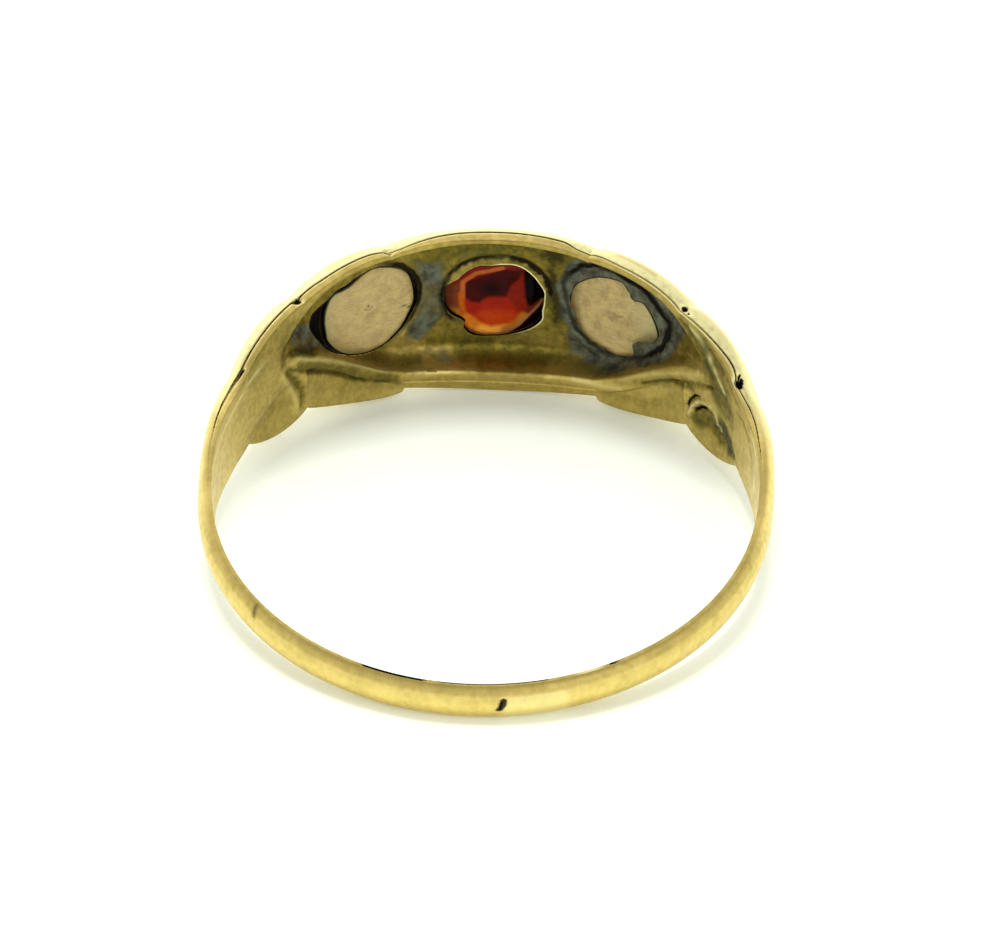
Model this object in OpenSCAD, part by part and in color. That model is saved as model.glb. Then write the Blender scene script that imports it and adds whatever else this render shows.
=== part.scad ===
// Antique three-stone finger ring: a garnet between two split pearls in a hollow-backed,
// boat-shaped head with scalloped leaf edges, on a thin D-section shank.
// The ring lies on its side, on the back of its shank and on the lower edge of its head.
//
// Ring frame, before the ring is laid down: the finger goes through along Z, the head is at +Y,
// and an angle is measured round Z from the head's middle, positive towards +X.

/* [Ring size] */
// Inner diameter, which the finger goes through
inner_d = 17.5; // [16.5:0.1:18.5]
// Thickness of the shank at the middle of its D section
shank_t = 0.48; // [0.4:0.02:0.6]
// Half the width of the shank at its back
shank_half_w = 0.6; // [0.5:0.02:0.7]

/* [Head] */
// Reach of the head's lower edge from the middle of the ring
head_low = 3.36; // [3.3:0.02:3.44]
// Reach of the head's upper edge from the middle of the ring
head_up = 3.42; // [3.38:0.02:3.5]
// Height of the head's dome over the finger's surface
dome_h = 1.8; // [1.74:0.02:1.86]
// Thickness of the metal at the head's open edge
rim_t = 0.5; // [0.42:0.02:0.54]
// Turn of the head's middle line from its lower edge, because the head leans a little
lean = 1.6; // [0:0.2:2]

/* [Hollow back] */
// Depth of the hollow behind the garnet
hollow_depth = 1.1; // [1:0.02:1.14]
// Land between the hollow and the upper edge, in the middle of the head
upper_land = 0.2; // [0.14:0.02:0.3]
// Depth of the dished back of each leaf
dish_depth = 0.18; // [0.1:0.02:0.24]

/* [Front of the leaves] */
// Depth of the groove between two leaves
groove = 0.14; // [0.06:0.02:0.16]
// Swell of each leaf between its grooves
swell = 0.12; // [0.04:0.02:0.16]

/* [Stones] */
// Angle from the garnet to the left pearl, round the ring
left_pearl_at = 26.2; // [25.6:0.1:27]
// Angle from the garnet to the right pearl, round the ring
right_pearl_at = 25.2; // [25:0.1:27]
// Lean of each pearl's axis beyond its place on the ring
pearl_lean = 4; // [2:1:6]
// Tip of each pearl's flat back towards the upper edge
pearl_tip = 4; // [0:1:5]
// Radius of the garnet at its girdle
garnet_r = 2.05; // [1.97:0.01:2.07]
// Sides of the garnet
garnet_sides = 12; // [8:2:16]
// Radius of a pearl at its widest
pearl_r = 1.95; // [1.9:0.01:1.97]
// Radius of a pearl's flat sawn back
pearl_back_r = 1.82; // [1.7:0.01:1.84]
// Gap all round between a stone and its seat
seat_gap = 0.03; // [0.02:0.01:0.05]

/* [Hidden] */

GOLD = "goldenrod";
bore_r = inner_d / 2;
// The swept body reaches this far into the finger hole, which is then bored out truly round
bore_stock = 0.08;
land_r = bore_r - bore_stock;
round_fn = 96;

// Corners between the lobes of the head's edge, from the middle of the head to the shank.
// Columns: angle and half width at the lower edge, angle and half width at the upper edge.
CORNERS = [
    [   0, head_low,    0, head_up],
    [22.8, 2.83,     22.3, 3.18],
    [48.2, 1.98,     45.4, 2.62],
    [68.9, 1.27,     65.6, 1.62],
];
// Lobes between those corners, first the lower edge, then the upper one. Columns: power that
// holds the edge straight before it drops, swell, fullness of the swell, power that moves it
// forward.
LOW_LOBES = [
    [1.8, 0,    1,   1],
    [1,   0.47, 0.6, 0.72],
    [1,   0.6,  0.8, 0.9],
];
UP_LOBES = [
    [3.4, 0,    1,   1],
    [1,   0.19, 0.8, 0.75],
    [1,   0.16, 0.7, 0.9],
];
// Sections along each lobe
LOBE_STEPS = [8, 10, 9];
// Half width of the shank against the angle from the head
SHANK_WIDTH = [[66, 1.3], [73, 1.38], [79, 1.36], [86, 1.18], [91, 0.98], [97, 0.8],
    [110, shank_half_w + 0.06], [130, shank_half_w + 0.02], [180, shank_half_w]];
// Angles of the shank's sections, from the last corner of the head to the back
SHANK_AT = [71, 75, 79, 83, 87, 91, 96, 102, 109, 117, 126, 135, 144, 153, 162, 171, 180];
// Thickness over the finger's surface, at the middle of the section, against the angle
DOME = [[0, dome_h], [20, dome_h - 0.02], [35, dome_h - 0.12], [50, dome_h - 0.3], [62, dome_h - 0.6],
    [75, 0.86], [85, 0.6], [95, shank_t + 0.02], [110, shank_t], [180, shank_t]];
// Thickness at the open edge, against the angle
RIM = [[0, rim_t], [30, rim_t - 0.06], [60, rim_t - 0.12], [75, 0.28], [90, 0.2], [110, 0.12], [180, 0.12]];
// The hollow, against the angle: height of its upper crest, of its lower crest and of the foot
// of the rib below it, and its depth at its upper and at its lower side
UP_CREST = [[0, head_up - upper_land], [20, 3.06], [28, 2.95], [35, 2.82], [41.5, 2.6], [46, 2.3],
    [50, 1.9], [54, 1.45], [57, 1.15], [180, 1]];
LOW_CREST = [[0, -2.5], [12, -2.45], [20, -2.25], [24, -2], [28.7, -1.6], [33.7, -1.05], [39, -0.45],
    [44.5, 0.1], [50, 0.55], [57, 0.8], [180, 0.3]];
RIB_FOOT = [[0, -2.95], [22.8, -2.6], [28.7, -2.25], [34, -1.7], [39, -1.05], [44.5, -0.45],
    [48.2, -0.1], [52, -0.3], [58, -0.5], [69, -0.9], [180, -0.9]];
UP_DEPTH = [[0, 1], [30, 1], [40, 0.88], [47, 0.64], [52, 0.32], [57, 0], [180, 0]];
LOW_DEPTH = [[0, 1], [14, 0.96], [24, 0.82], [30, 0.7], [38, 0.55], [46, 0.36], [52, 0.18], [57, 0],
    [180, 0]];
outer_steps = 14;

function mix(a, b, t) = a + (b - a) * t;
function clamp(value, low, high) = max(low, min(high, value));

// Half width of the edge in a lobe, at share t of the way along it, from one corner's half
// width to the next one's
function lobe_width(lobe, from, to, t) =
    mix(from, to, pow(t, lobe[0])) + lobe[1] * pow(sin(180 * pow(t, lobe[3])), lobe[2]);

// A section of half the ring. Columns: angle low, angle up, half width low, half width up,
// share of the way along its leaf (0 at a corner and on the shank), and leaf number.
function head_sections() = [for (k = [0:2], n = LOBE_STEPS[k], i = [0:n - 1]) let (
        t = i / n, from = CORNERS[k], to = CORNERS[k + 1]
    ) [mix(from[0], to[0], t), mix(from[2], to[2], t),
        lobe_width(LOW_LOBES[k], from[1], to[1], t), lobe_width(UP_LOBES[k], from[3], to[3], t), t, k]];
function shank_sections() = [
    [CORNERS[3][0], CORNERS[3][2], CORNERS[3][1], CORNERS[3][3], 0, 3],
    for (a = SHANK_AT) [a, a, lookup(a, SHANK_WIDTH), lookup(a, SHANK_WIDTH), 0, 3]];

HALF = concat(head_sections(), shank_sections());
half_n = len(HALF);
// The whole round: one side from the head to the back, then the other side home again
RING = concat(
    [for (i = [0:half_n - 1]) [1, HALF[i]]],
    [for (i = [half_n - 2:-1:1]) [-1, HALF[i]]]);

// Angle of a point at share s across the head, -1 at the lower edge and 1 at the upper one.
// The lean dies away towards the shank.
function lean_angle(side, row, s) = let (a = mix(row[0], row[1], (s + 1) / 2))
    side * a - (abs(a) < 90 ? lean * (s + 1) * pow(cos(a), 2) : 0);
function ring_point(side, row, w, r) = let (
        s = w / (w < 0 ? row[2] : row[3]),
        a = lean_angle(side, row, s)
    ) [r * sin(a), r * cos(a), w];

// Swell and groove of the front of the leaves, none at the crown of the dome
function front_relief(row, s) = let (
        share = pow(abs(s), 1.5),
        corner = row[4] == 0 && row[5] > 0 && row[0] < 70
    ) share * (corner ? -groove : row[5] > 0 && row[5] < 3 ? swell * sin(180 * row[4]) : 0);
function outer_points(side, row) = [for (j = [0:outer_steps]) let (
        phi = mix(-90, 90, j / outer_steps),
        s = sin(phi),
        w = s * (s < 0 ? row[2] : row[3]),
        rim = lookup(row[0], RIM),
        r = bore_r + rim + (lookup(row[0], DOME) - rim) * cos(phi)
            + (j == 0 || j == outer_steps ? 0 : front_relief(row, s))
    ) ring_point(side, row, w, r)];

// Depth of the dish behind a leaf, just below its rib
function dish(row) = row[5] == 0 || row[5] == 3 ? 0 : dish_depth * sqrt(sin(180 * row[4]));
// Radius at a share of a depth below the finger's surface
function down(depth, share) = mix(land_r, bore_r + depth, depth > 0 ? share : 0);
// Inner points from the upper edge to the lower one: upper land, curved wall of the hollow, its
// floor, lower wall, rib, dish of the leaf and lower edge
function inner_points(side, row) = let (
        a = row[0],
        up = min(lookup(a, UP_CREST), 0.94 * row[3]),
        low = clamp(lookup(a, LOW_CREST), -0.75 * row[2], up - 0.35 * row[3]),
        foot = clamp(lookup(a, RIB_FOOT), -0.9 * row[2], low - 0.12 * row[2]),
        up_depth = hollow_depth * lookup(a, UP_DEPTH),
        low_depth = hollow_depth * lookup(a, LOW_DEPTH),
        up_run = min(0.9, 0.4 * (up - low)),
        low_run = min(0.4, 0.25 * (up - low)),
        across = [
            [row[3], land_r],
            [up, land_r],
            [up - 0.13 * up_run, down(up_depth, 0.5)],
            [up - 0.5 * up_run, down(up_depth, 0.87)],
            [up - up_run, down(up_depth, 1)],
            [mix(up - up_run, low + low_run, 0.5), down((up_depth + low_depth) / 2, 1)],
            [low + low_run, down(low_depth, 1)],
            [low + 0.4 * low_run, down(low_depth, 0.8)],
            [low, land_r],
            [foot, land_r],
            [mix(foot, -row[2], 0.12), down(dish(row), 1)],
            [mix(foot, -row[2], 0.5), down(dish(row), 0.8)],
            [mix(foot, -row[2], 0.88), land_r],
            [-row[2], land_r]]
    ) [for (p = across) ring_point(side, row, p[0], p[1])];

SECTIONS = [for (place = RING) concat(outer_points(place[0], place[1]), inner_points(place[0], place[1]))];

module swept_body() {
    n = len(SECTIONS);
    m = len(SECTIONS[0]);
    faces = [for (i = [0:n - 1], j = [0:m - 1]) let (
            i2 = (i + 1) % n, j2 = (j + 1) % m,
            a = i * m + j, b = i2 * m + j, c = i2 * m + j2, d = i * m + j2
        ) each [[a, b, c], [a, c, d]]];
    polyhedron(points = [for (section = SECTIONS) each section], faces = faces, convexity = 8);
}

// Stands a piece on its place on the ring, with its own Z pointing outwards and its zero at a
// depth below the finger's surface. A tip turns its back towards the upper edge.
module on_ring(at, axis, depth, rise, tip) {
    translate([(bore_r + depth) * sin(at), (bore_r + depth) * cos(at), rise])
        rotate([0, 0, -axis])
            rotate([-90 - tip, 0, 0])
                children();
}
module at_garnet() { on_ring(-lean, -lean, hollow_depth, 0, 0) children(); }
// Columns: side, angle from the garnet
LEFT = [-1, left_pearl_at];
RIGHT = [1, right_pearl_at];
pearl_depth = 0.95;
pearl_rise = 0.16;
module at_pearl(place) {
    at = place[0] * place[1] - lean;
    axis = place[0] * (place[1] + pearl_lean) - lean;
    on_ring(at, axis, pearl_depth, pearl_rise, pearl_tip) children();
}

// Heights below are outwards from the hollow's floor for the garnet and from the flat back for
// a pearl. Columns: hole at the back, opening of the ledge, height of the ledge, radius of the
// stone, start of the lip, top of the bezel, reach of the lip over the stone.
GARNET_SEAT = [1.88, 1.84, 0.3, garnet_r, 0.72, 0.84, 0.12];
PEARL_SEAT = [2.08, 1.87, 0.42, pearl_r, 0.62, 0.74, 0.04];
garnet_girdle_z = 0.63;
garnet_table_z = 1.4;
pearl_widest_z = 0.56;
pearl_cap = 0.95;
ledge_t = 0.08;
ledge_rise = 0.1;
bezel_wall = 0.16;
bezel_flare = 0.12;
// Turn of a pearl's foot disc, which takes the foot down into the dome towards the upper edge
pearl_foot_turn = 5;
foot_disc_t = 0.01;
lip_round = 0.05;
// The cuts for the seats start this far towards the finger and end this far over the bezel
cut_back = 0.55;
cut_over = 0.5;

// Collet round a stone, a little wider at its foot, inside the dome, than at its rubbed-over lip
module bezel(seat, foot_turn = 0) {
    top_r = seat[3] + seat_gap + bezel_wall;
    top_z = seat[5];
    foot_z = seat[2] - ledge_t;
    rotate_extrude($fn = round_fn)
        polygon([[0, foot_z], [top_r + bezel_flare, foot_z], [top_r, top_z - lip_round],
            [top_r - lip_round, top_z], [0, top_z]]);
    if (foot_turn > 0)
        hull()
            for (turn = [0, foot_turn])
                translate([0, 0, foot_z])
                    rotate([turn, 0, 0])
                        cylinder(r = top_r + bezel_flare, h = foot_disc_t, $fn = round_fn);
}
// Cut for a seat: hole from the back, ledge, room for the stone and opening in the lip
module seat_cut(seat) {
    room_r = seat[3] + seat_gap;
    open_r = room_r - seat[6];
    ledge_z = seat[2];
    rotate_extrude($fn = round_fn)
        polygon([[0, -cut_back], [seat[0], -cut_back], [seat[0], ledge_z - ledge_t],
            [seat[1], ledge_z - ledge_t], [seat[1], ledge_z], [room_r, ledge_z + ledge_rise],
            [room_r, seat[4]], [open_r, seat[5]], [open_r, seat[5] + cut_over],
            [0, seat[5] + cut_over]]);
}

module ring_in_frame() {
    difference() {
        union() {
            swept_body();
            at_garnet() bezel(GARNET_SEAT);
            for (place = [LEFT, RIGHT])
                at_pearl(place) bezel(PEARL_SEAT, pearl_foot_turn);
        }
        cylinder(h = 4 * head_up, r = bore_r, center = true, $fn = 4 * round_fn);
        at_garnet() seat_cut(GARNET_SEAT);
        for (place = [LEFT, RIGHT])
            at_pearl(place) seat_cut(PEARL_SEAT);
    }
}

// The garnet's rows of corners, from its culet to its table. Columns: height, radius, and turn
// of the row as a share of a side. Rows of one turn have steps between them, others triangles.
GARNET_ROWS = [
    [-0.68, 0.72, 0],
    [-0.4,  1.22, 0],
    [-0.08, 1.58, 0],
    [0.26,  1.78, 0],
    [garnet_girdle_z - 0.05, garnet_r, 0],
    [garnet_girdle_z + 0.05, garnet_r, 0],
    [garnet_girdle_z + 0.42, 0.84 * garnet_r, 0.5],
    [garnet_table_z, 0.6 * garnet_r, 0],
];
module garnet_in_frame() {
    n = garnet_sides;
    rows = len(GARNET_ROWS);
    points = [for (row = GARNET_ROWS, i = [0:n - 1]) let (a = 360 * (i + row[2]) / n)
        [row[1] * cos(a), row[1] * sin(a), row[0]]];
    sides = [for (k = [0:rows - 2], i = [0:n - 1]) let (
            j = (i + 1) % n, turn = GARNET_ROWS[k + 1][2] - GARNET_ROWS[k][2],
            a = k * n + i, b = k * n + j, c = (k + 1) * n + j, d = (k + 1) * n + i
        ) each turn == 0 ? [[d, c, b, a]] : turn > 0 ? [[d, b, a], [d, c, b]] : [[d, c, a], [c, b, a]]];
    polyhedron(points = points, convexity = 2, faces = concat(sides,
        [[for (i = [0:n - 1]) i]], [[for (i = [n - 1:-1:0]) (rows - 1) * n + i]]));
}

// A split pearl: flat sawn back, shoulder on the ledge, domed front
module pearl_in_frame() {
    cap_steps = 14;
    edge = 0.04;
    shoulder_z = PEARL_SEAT[2] - 0.02;
    rotate_extrude($fn = round_fn)
        polygon(concat(
            [[0, 0], [pearl_back_r - edge, 0], [pearl_back_r, edge], [pearl_back_r, shoulder_z],
                [pearl_r, shoulder_z + ledge_rise + 0.03]],
            [for (i = [0:cap_steps]) let (a = 90 * i / cap_steps)
                [i == cap_steps ? 0 : pearl_r * cos(a), pearl_widest_z + pearl_cap * sin(a)]]));
}

// The ring lies where the back of its shank and the lower edge of its head touch the surface.
function height_at(p, tilt) = p[1] * sin(tilt) + p[2] * cos(tilt);
function reach_at(p, tilt) = p[1] * cos(tilt) - p[2] * sin(tilt);
BACK = [for (section = SECTIONS, p = section) if (p[1] < -0.8 * bore_r && p[2] < 0) p];
FRONT = [for (section = SECTIONS, p = section) if (p[1] > 0.3 * bore_r && p[2] < 0) p];
function lowest(points, tilt) = min([for (p = points) height_at(p, tilt)]);
// Halves the range of tilts until the two lowest places are level
function level_tilt(low, high, steps = 24) = let (mid = (low + high) / 2)
    steps == 0 ? mid
    : lowest(FRONT, mid) < lowest(BACK, mid) ? level_tilt(mid, high, steps - 1)
    : level_tilt(low, mid, steps - 1);
tilt = level_tilt(4, 14);
lift = -lowest(BACK, tilt);
table_row = GARNET_ROWS[len(GARNET_ROWS) - 1];
front_y = reach_at([0, (bore_r + hollow_depth + table_row[0]) * cos(lean), -table_row[1]], tilt);
back_y = min([for (p = BACK) reach_at(p, tilt)]);
module lay_down() {
    translate([0, -(front_y + back_y) / 2, lift]) rotate([tilt, 0, 0]) children();
}

module ring_body() { color(GOLD) lay_down() ring_in_frame(); }
module garnet() { color("firebrick") lay_down() at_garnet() garnet_in_frame(); }
module pearl_left() { color("wheat") lay_down() at_pearl(LEFT) pearl_in_frame(); }
module pearl_right() { color("wheat") lay_down() at_pearl(RIGHT) pearl_in_frame(); }

ring_body();
garnet();
pearl_left();
pearl_right();
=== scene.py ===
"""Looks of an antique three-stone finger ring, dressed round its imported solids.

The ring lies on its side. Its pieces are modelled in the ring's own frame, in millimetres: the
finger goes through along Z, the head is at +Y, and an angle is measured round Z from the head's
middle, positive towards +X. Place.matrix() lays a finished mesh down in the row frame, in metres.
Depths and radii of the body are measured outwards from the finger's surface.
"""
from __future__ import annotations

import logging
import math
from dataclasses import dataclass
from enum import Enum
from typing import NamedTuple

import bpy
import numpy as np
from mathutils import Matrix, Vector, noise


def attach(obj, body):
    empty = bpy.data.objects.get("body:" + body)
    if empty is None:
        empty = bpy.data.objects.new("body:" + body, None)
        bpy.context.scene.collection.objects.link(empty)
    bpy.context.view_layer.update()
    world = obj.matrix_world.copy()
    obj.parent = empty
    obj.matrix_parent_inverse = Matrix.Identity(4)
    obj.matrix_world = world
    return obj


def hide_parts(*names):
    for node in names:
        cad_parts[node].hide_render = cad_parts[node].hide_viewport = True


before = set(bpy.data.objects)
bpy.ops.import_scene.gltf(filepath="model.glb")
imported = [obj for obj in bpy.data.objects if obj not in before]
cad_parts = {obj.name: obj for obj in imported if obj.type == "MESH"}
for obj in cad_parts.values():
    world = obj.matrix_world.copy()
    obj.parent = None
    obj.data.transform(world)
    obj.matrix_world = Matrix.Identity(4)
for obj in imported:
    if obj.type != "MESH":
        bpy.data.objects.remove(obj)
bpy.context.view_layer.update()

LOG = logging.getLogger("ring")
MM = 0.001
# Radius of the finger hole in mm, and turn in degrees from the head's lower edge to its middle
INNER_R = 8.75
LEAN = 1.6
# An attribute holds 0 to 1, so distances in mm and strong masks go into it halved. These are its
# values where the distance from a hole's edge and from a groove is nothing.
HALF = 0.5
EDGE_ZERO = 0.25
AWAY_ZERO = 0.5
Pairs = tuple[tuple[float, float], ...]
Triple = tuple[float, float, float]
Colour = Triple
Run = tuple[np.ndarray, np.ndarray]


def smooth_table(pairs: Pairs, at: np.ndarray) -> np.ndarray:
    """Read a table with a smooth curve that never overshoots its rows.

    Args:
        pairs: rows of place and value, in order of place.
        at: places to read the table at.

    Returns:
        The values there, held level beyond the first and last rows.
    """
    x, y = np.array(pairs, float).T
    run = np.diff(x)
    slope = np.diff(y) / run
    turn = np.zeros_like(y)
    same = slope[:-1] * slope[1:] > 0
    before, after = slope[:-1][same], slope[1:][same]
    turn[1:-1][same] = 2 * before * after / (before + after)
    k = np.clip(np.searchsorted(x, at) - 1, 0, len(x) - 2)
    t = np.clip((at - x[k]) / run[k], 0, 1)
    start = (1 + 2 * t) * (1 - t) ** 2 * y[k] + t * (1 - t) ** 2 * run[k] * turn[k]
    return start + t * t * (3 - 2 * t) * y[k + 1] + t * t * (t - 1) * run[k] * turn[k + 1]


def between(start: np.ndarray, end: np.ndarray, share: np.ndarray) -> np.ndarray:
    """Value at a share of the way from the start to the end."""
    return start + (end - start) * share


def rise(value: np.ndarray, low: float, high: float) -> np.ndarray:
    """Smooth step from 0 at low to 1 at high."""
    t = np.clip((value - low) / (high - low), 0, 1)
    return t * t * (3 - 2 * t)


def near(value: np.ndarray, middle: float, reach: float) -> np.ndarray:
    """Soft bump that is 1 at the middle and dies away over the reach."""
    return np.exp(-((value - middle) / reach) ** 2)


def grain(points: np.ndarray, size: float, seed: float = 0.0) -> np.ndarray:
    """Even noise in space.

    Args:
        points: rows of x, y and z in mm.
        size: size of the noise's lumps in mm.
        seed: shift that gives another pattern.

    Returns:
        A value from about -1 to 1 for each point.
    """
    return np.array([noise.noise(Vector(p) / size + Vector((seed, 2 * seed, 0))) for p in points])


def polar(x: np.ndarray, y: np.ndarray) -> tuple[np.ndarray, np.ndarray]:
    """Distance of points from the middle, and their turn round it from 0 to 360 degrees."""
    return np.hypot(x, y), np.degrees(np.arctan2(y, x)) % 360


def to_line(x: np.ndarray, y: np.ndarray, line: Pairs) -> np.ndarray:
    """Distance of points from an open line of straight runs.

    Args:
        x: first coordinates of the points.
        y: second coordinates of the points.
        line: corners of the line.

    Returns:
        The distance to the nearest place on the line.
    """
    best = np.full(np.shape(x), np.inf)
    for (ax, ay), (bx, by) in zip(line, line[1:]):
        dx, dy = bx - ax, by - ay
        t = np.clip(((x - ax) * dx + (y - ay) * dy) / (dx * dx + dy * dy), 0, 1)
        best = np.minimum(best, np.hypot(x - ax - t * dx, y - ay - t * dy))
    return best


def inside(x: np.ndarray, y: np.ndarray, outline: Pairs, soft: float) -> np.ndarray:
    """How far points lie inside a closed outline, as a soft mask.

    Args:
        x: first coordinates of the points.
        y: second coordinates of the points.
        outline: corners of the outline.
        soft: half the width of its soft edge.

    Returns:
        0 outside, 1 inside and a smooth step between.
    """
    closed = (*outline, outline[0])
    within = np.zeros(np.shape(x), bool)
    for (ax, ay), (bx, by) in zip(closed, closed[1:]):
        if ay != by:
            crosses = (ay > y) != (by > y)
            within ^= crosses & (x < ax + (y - ay) * (bx - ax) / (by - ay))
    away = to_line(x, y, closed)
    return rise(np.where(within, away, -away), -soft, soft)


@dataclass(frozen=True)
class Place:
    """How the ring lies in the row frame: turned by the tilt in degrees, then moved in mm."""

    tilt: float = 8.94243
    lift: float = 1.97148
    mid: float = 1.10599

    def matrix(self) -> Matrix:
        """Ring frame in millimetres to row frame in metres."""
        turned = Matrix.Rotation(math.radians(self.tilt), 4, "X")
        return Matrix.Scale(MM, 4) @ Matrix.Translation((0, -self.mid, self.lift)) @ turned


PLACE = Place()


@dataclass(frozen=True)
class Seat:
    """Where a stone sits, and the bezel and hole that hold it. By default it is a pearl's seat.

    Its own frame has Z outwards, X towards the right of the head and Y towards the lower edge.
    Heights are from the stone's back, in millimetres, and tables run over the turn round it.
    """

    # Angle of the place on the ring and of the axis, in degrees
    at: float
    axis: float
    # Height of the metal behind the stone, thinned by use, and shift of the hole for each mm of height
    skin: float
    slope: tuple[float, float]
    # Radius of the hole's edge, and height that the hole is cut down to
    hole: Pairs
    back: Pairs
    # Place of the stone's back: depth, height in the ring frame and tip to the upper edge
    depth: float = 0.95
    lift: float = 0.16
    tip: float = 4.0
    # Heights of the ledge, of the lip's start and of the bezel's top
    ledge_z: float = 0.42
    lip_z: float = 0.62
    top_z: float = 0.74
    stone_r: float = 1.95
    gap: float = 0.03
    wall: float = 0.16
    flare: float = 0.12
    # Reach of the lip over the stone, and fall of the bezel's foot towards the upper edge
    lip: float = 0.04
    foot_slope: float = 0.09

    @property
    def room(self) -> float:
        """Radius of the room for the stone."""
        return self.stone_r + self.gap

    @property
    def bezel_r(self) -> float:
        """Radius of the bezel at its top."""
        return self.room + self.wall

    def matrix(self) -> Matrix:
        """Work out where the seat lies on the ring.

        Returns:
            Seat frame to ring frame, both in millimetres.
        """
        r = INNER_R + self.depth
        a = math.radians(self.at)
        spot = Matrix.Translation((r * math.sin(a), r * math.cos(a), self.lift))
        turned = Matrix.Rotation(math.radians(-self.axis), 4, "Z")
        return spot @ turned @ Matrix.Rotation(math.radians(-90 - self.tip), 4, "X")

    def local(self, points: np.ndarray) -> np.ndarray:
        """Points of the ring frame, seen in the seat's own frame."""
        back = np.array(self.matrix().inverted())
        return points @ back[:3, :3].T + back[:3, 3]


GARNET_SEAT = Seat(
    at=-1.6, axis=-1.6, depth=1.1, lift=0.0, tip=0.0, ledge_z=0.3, stone_r=2.05, lip_z=0.72,
    top_z=0.84, skin=0.08, slope=(0.0, 0.0), lip=0.12, foot_slope=0.0,
    hole=((0, 1.71), (12, 1.7), (27, 1.83), (41, 1.8), (70, 1.7), (92, 1.73), (117, 1.85),
        (131, 1.71), (136, 1.52), (141, 1.52), (155, 1.68), (168, 1.78), (182, 1.8), (199, 1.82),
        (207, 1.7), (215, 1.58), (238, 1.57), (248, 1.56), (263, 1.46), (281, 1.54), (297, 1.67),
        (315, 1.71), (331, 1.72), (345, 1.77), (360, 1.71)),
    back=((0, -0.4), (360, -0.4)))
LEFT_SEAT = Seat(
    at=-27.8, axis=-31.8, skin=0.1, slope=(0.497, 0.952),
    hole=((0, 1.8), (12, 1.71), (28, 1.6), (37, 1.57), (44, 1.56), (51, 1.55), (73, 1.59), (86, 1.63),
        (106, 1.73), (118, 1.79), (130, 1.86), (144, 1.98), (155, 2.02), (165, 2.09), (175, 2.2),
        (187, 2.33), (196, 2.3), (208, 2.08), (217, 1.93), (226, 1.88), (243, 1.73), (262, 1.76),
        (272, 1.82), (291, 1.87), (327, 1.93), (348, 1.87), (360, 1.8)),
    back=((0, -0.4), (60, -0.2), (90, -0.3), (114, -0.55), (130, -0.85), (150, -1.0), (205, -0.9),
        (220, -0.4), (240, -0.12), (300, -0.25), (360, -0.4)))
RIGHT_SEAT = Seat(
    at=23.6, axis=27.6, skin=0.16, slope=(-0.565, 0.983),
    hole=((0, 1.77), (4, 1.79), (11, 1.71), (18, 1.59), (25, 1.41), (32, 1.22), (43, 1.19),
        (48, 1.29), (51, 1.49), (57, 1.59), (69, 1.57), (81, 1.57), (93, 1.53), (100, 1.46),
        (107, 1.54), (114, 1.52), (121, 1.6), (128, 1.58), (136, 1.66), (142, 1.6), (149, 1.63),
        (157, 1.56), (166, 1.59), (171, 1.7), (176, 1.7), (184, 1.78), (192, 1.72), (199, 1.75),
        (208, 1.73), (219, 1.66), (234, 1.62), (259, 1.59), (278, 1.61), (284, 1.53), (289, 1.44),
        (294, 1.39), (299, 1.27), (307, 1.27), (313, 1.46), (318, 1.54), (329, 1.58), (340, 1.63),
        (348, 1.68), (356, 1.74), (360, 1.77)),
    back=((0, -0.5), (20, -0.45), (45, -0.25), (80, -0.12), (160, -0.2), (200, -0.4), (250, -0.2),
        (285, -0.1), (310, -0.15), (340, -0.4), (360, -0.5)))
SEATS = (GARNET_SEAT, LEFT_SEAT, RIGHT_SEAT)
# Radius of each pearl's sawn back, against the turn round it
LEFT_OUTLINE: Pairs = ((0, 1.73), (15, 1.66), (26, 1.6), (50, 1.61), (61, 1.62), (71, 1.67),
    (95, 1.74), (116, 1.79), (129, 1.82), (158, 1.81), (169, 1.74), (178, 1.72), (203, 1.74),
    (215, 1.75), (223, 1.68), (231, 1.52), (243, 1.43), (254, 1.48), (267, 1.6), (283, 1.73),
    (295, 1.75), (307, 1.8), (317, 1.84), (326, 1.86), (336, 1.81), (345, 1.77), (360, 1.73))
RIGHT_OUTLINE: Pairs = ((0, 1.85), (180, 1.83), (360, 1.85))


class SeamMarks(NamedTuple):
    """Marks of one seam at some points, with a value for each point."""

    # Distances out from the hole's edge and from the groove, in mm
    edge: np.ndarray
    away: np.ndarray
    # Strengths of the groove's dark and of the painted highlight along the hole's edge, and how far
    # a point is in the seam
    dark: np.ndarray
    edge_highlight: np.ndarray
    level: np.ndarray


@dataclass(frozen=True)
class Seam:
    """Marks that use and soldering left round a seat's hole, and the painted highlight along its edge;
    each table runs over the turn round it.
    """

    seat: Seat
    groove: Pairs
    dark: Pairs
    # Strength of the painted highlight along the hole's edge
    edge_highlight: Pairs = ((0, 0), (360, 0))
    # Distance from the level of the stone's back at which the marks start to fade and are gone
    fade_from: float = 0.8
    fade_to: float = 1.1

    def marks(self, points: np.ndarray) -> SeamMarks:
        """Look up the seam's marks.

        Args:
            points: rows of x, y and z in the ring frame.

        Returns:
            Distances and strengths of the marks at each point.
        """
        q = self.seat.local(points)
        flat = q[:, :2] - q[:, 2:] * np.array(self.seat.slope)
        reach, turn = polar(*flat.T)
        level = rise(-np.abs(q[:, 2]), -self.fade_to, -self.fade_from)
        edge, away = (reach - smooth_table(table, turn) for table in (self.seat.hole, self.groove))
        dark, edge_highlight = (level * smooth_table(table, turn) for table in (self.dark, self.edge_highlight))
        return SeamMarks(edge, away, dark, edge_highlight, level)


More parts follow.
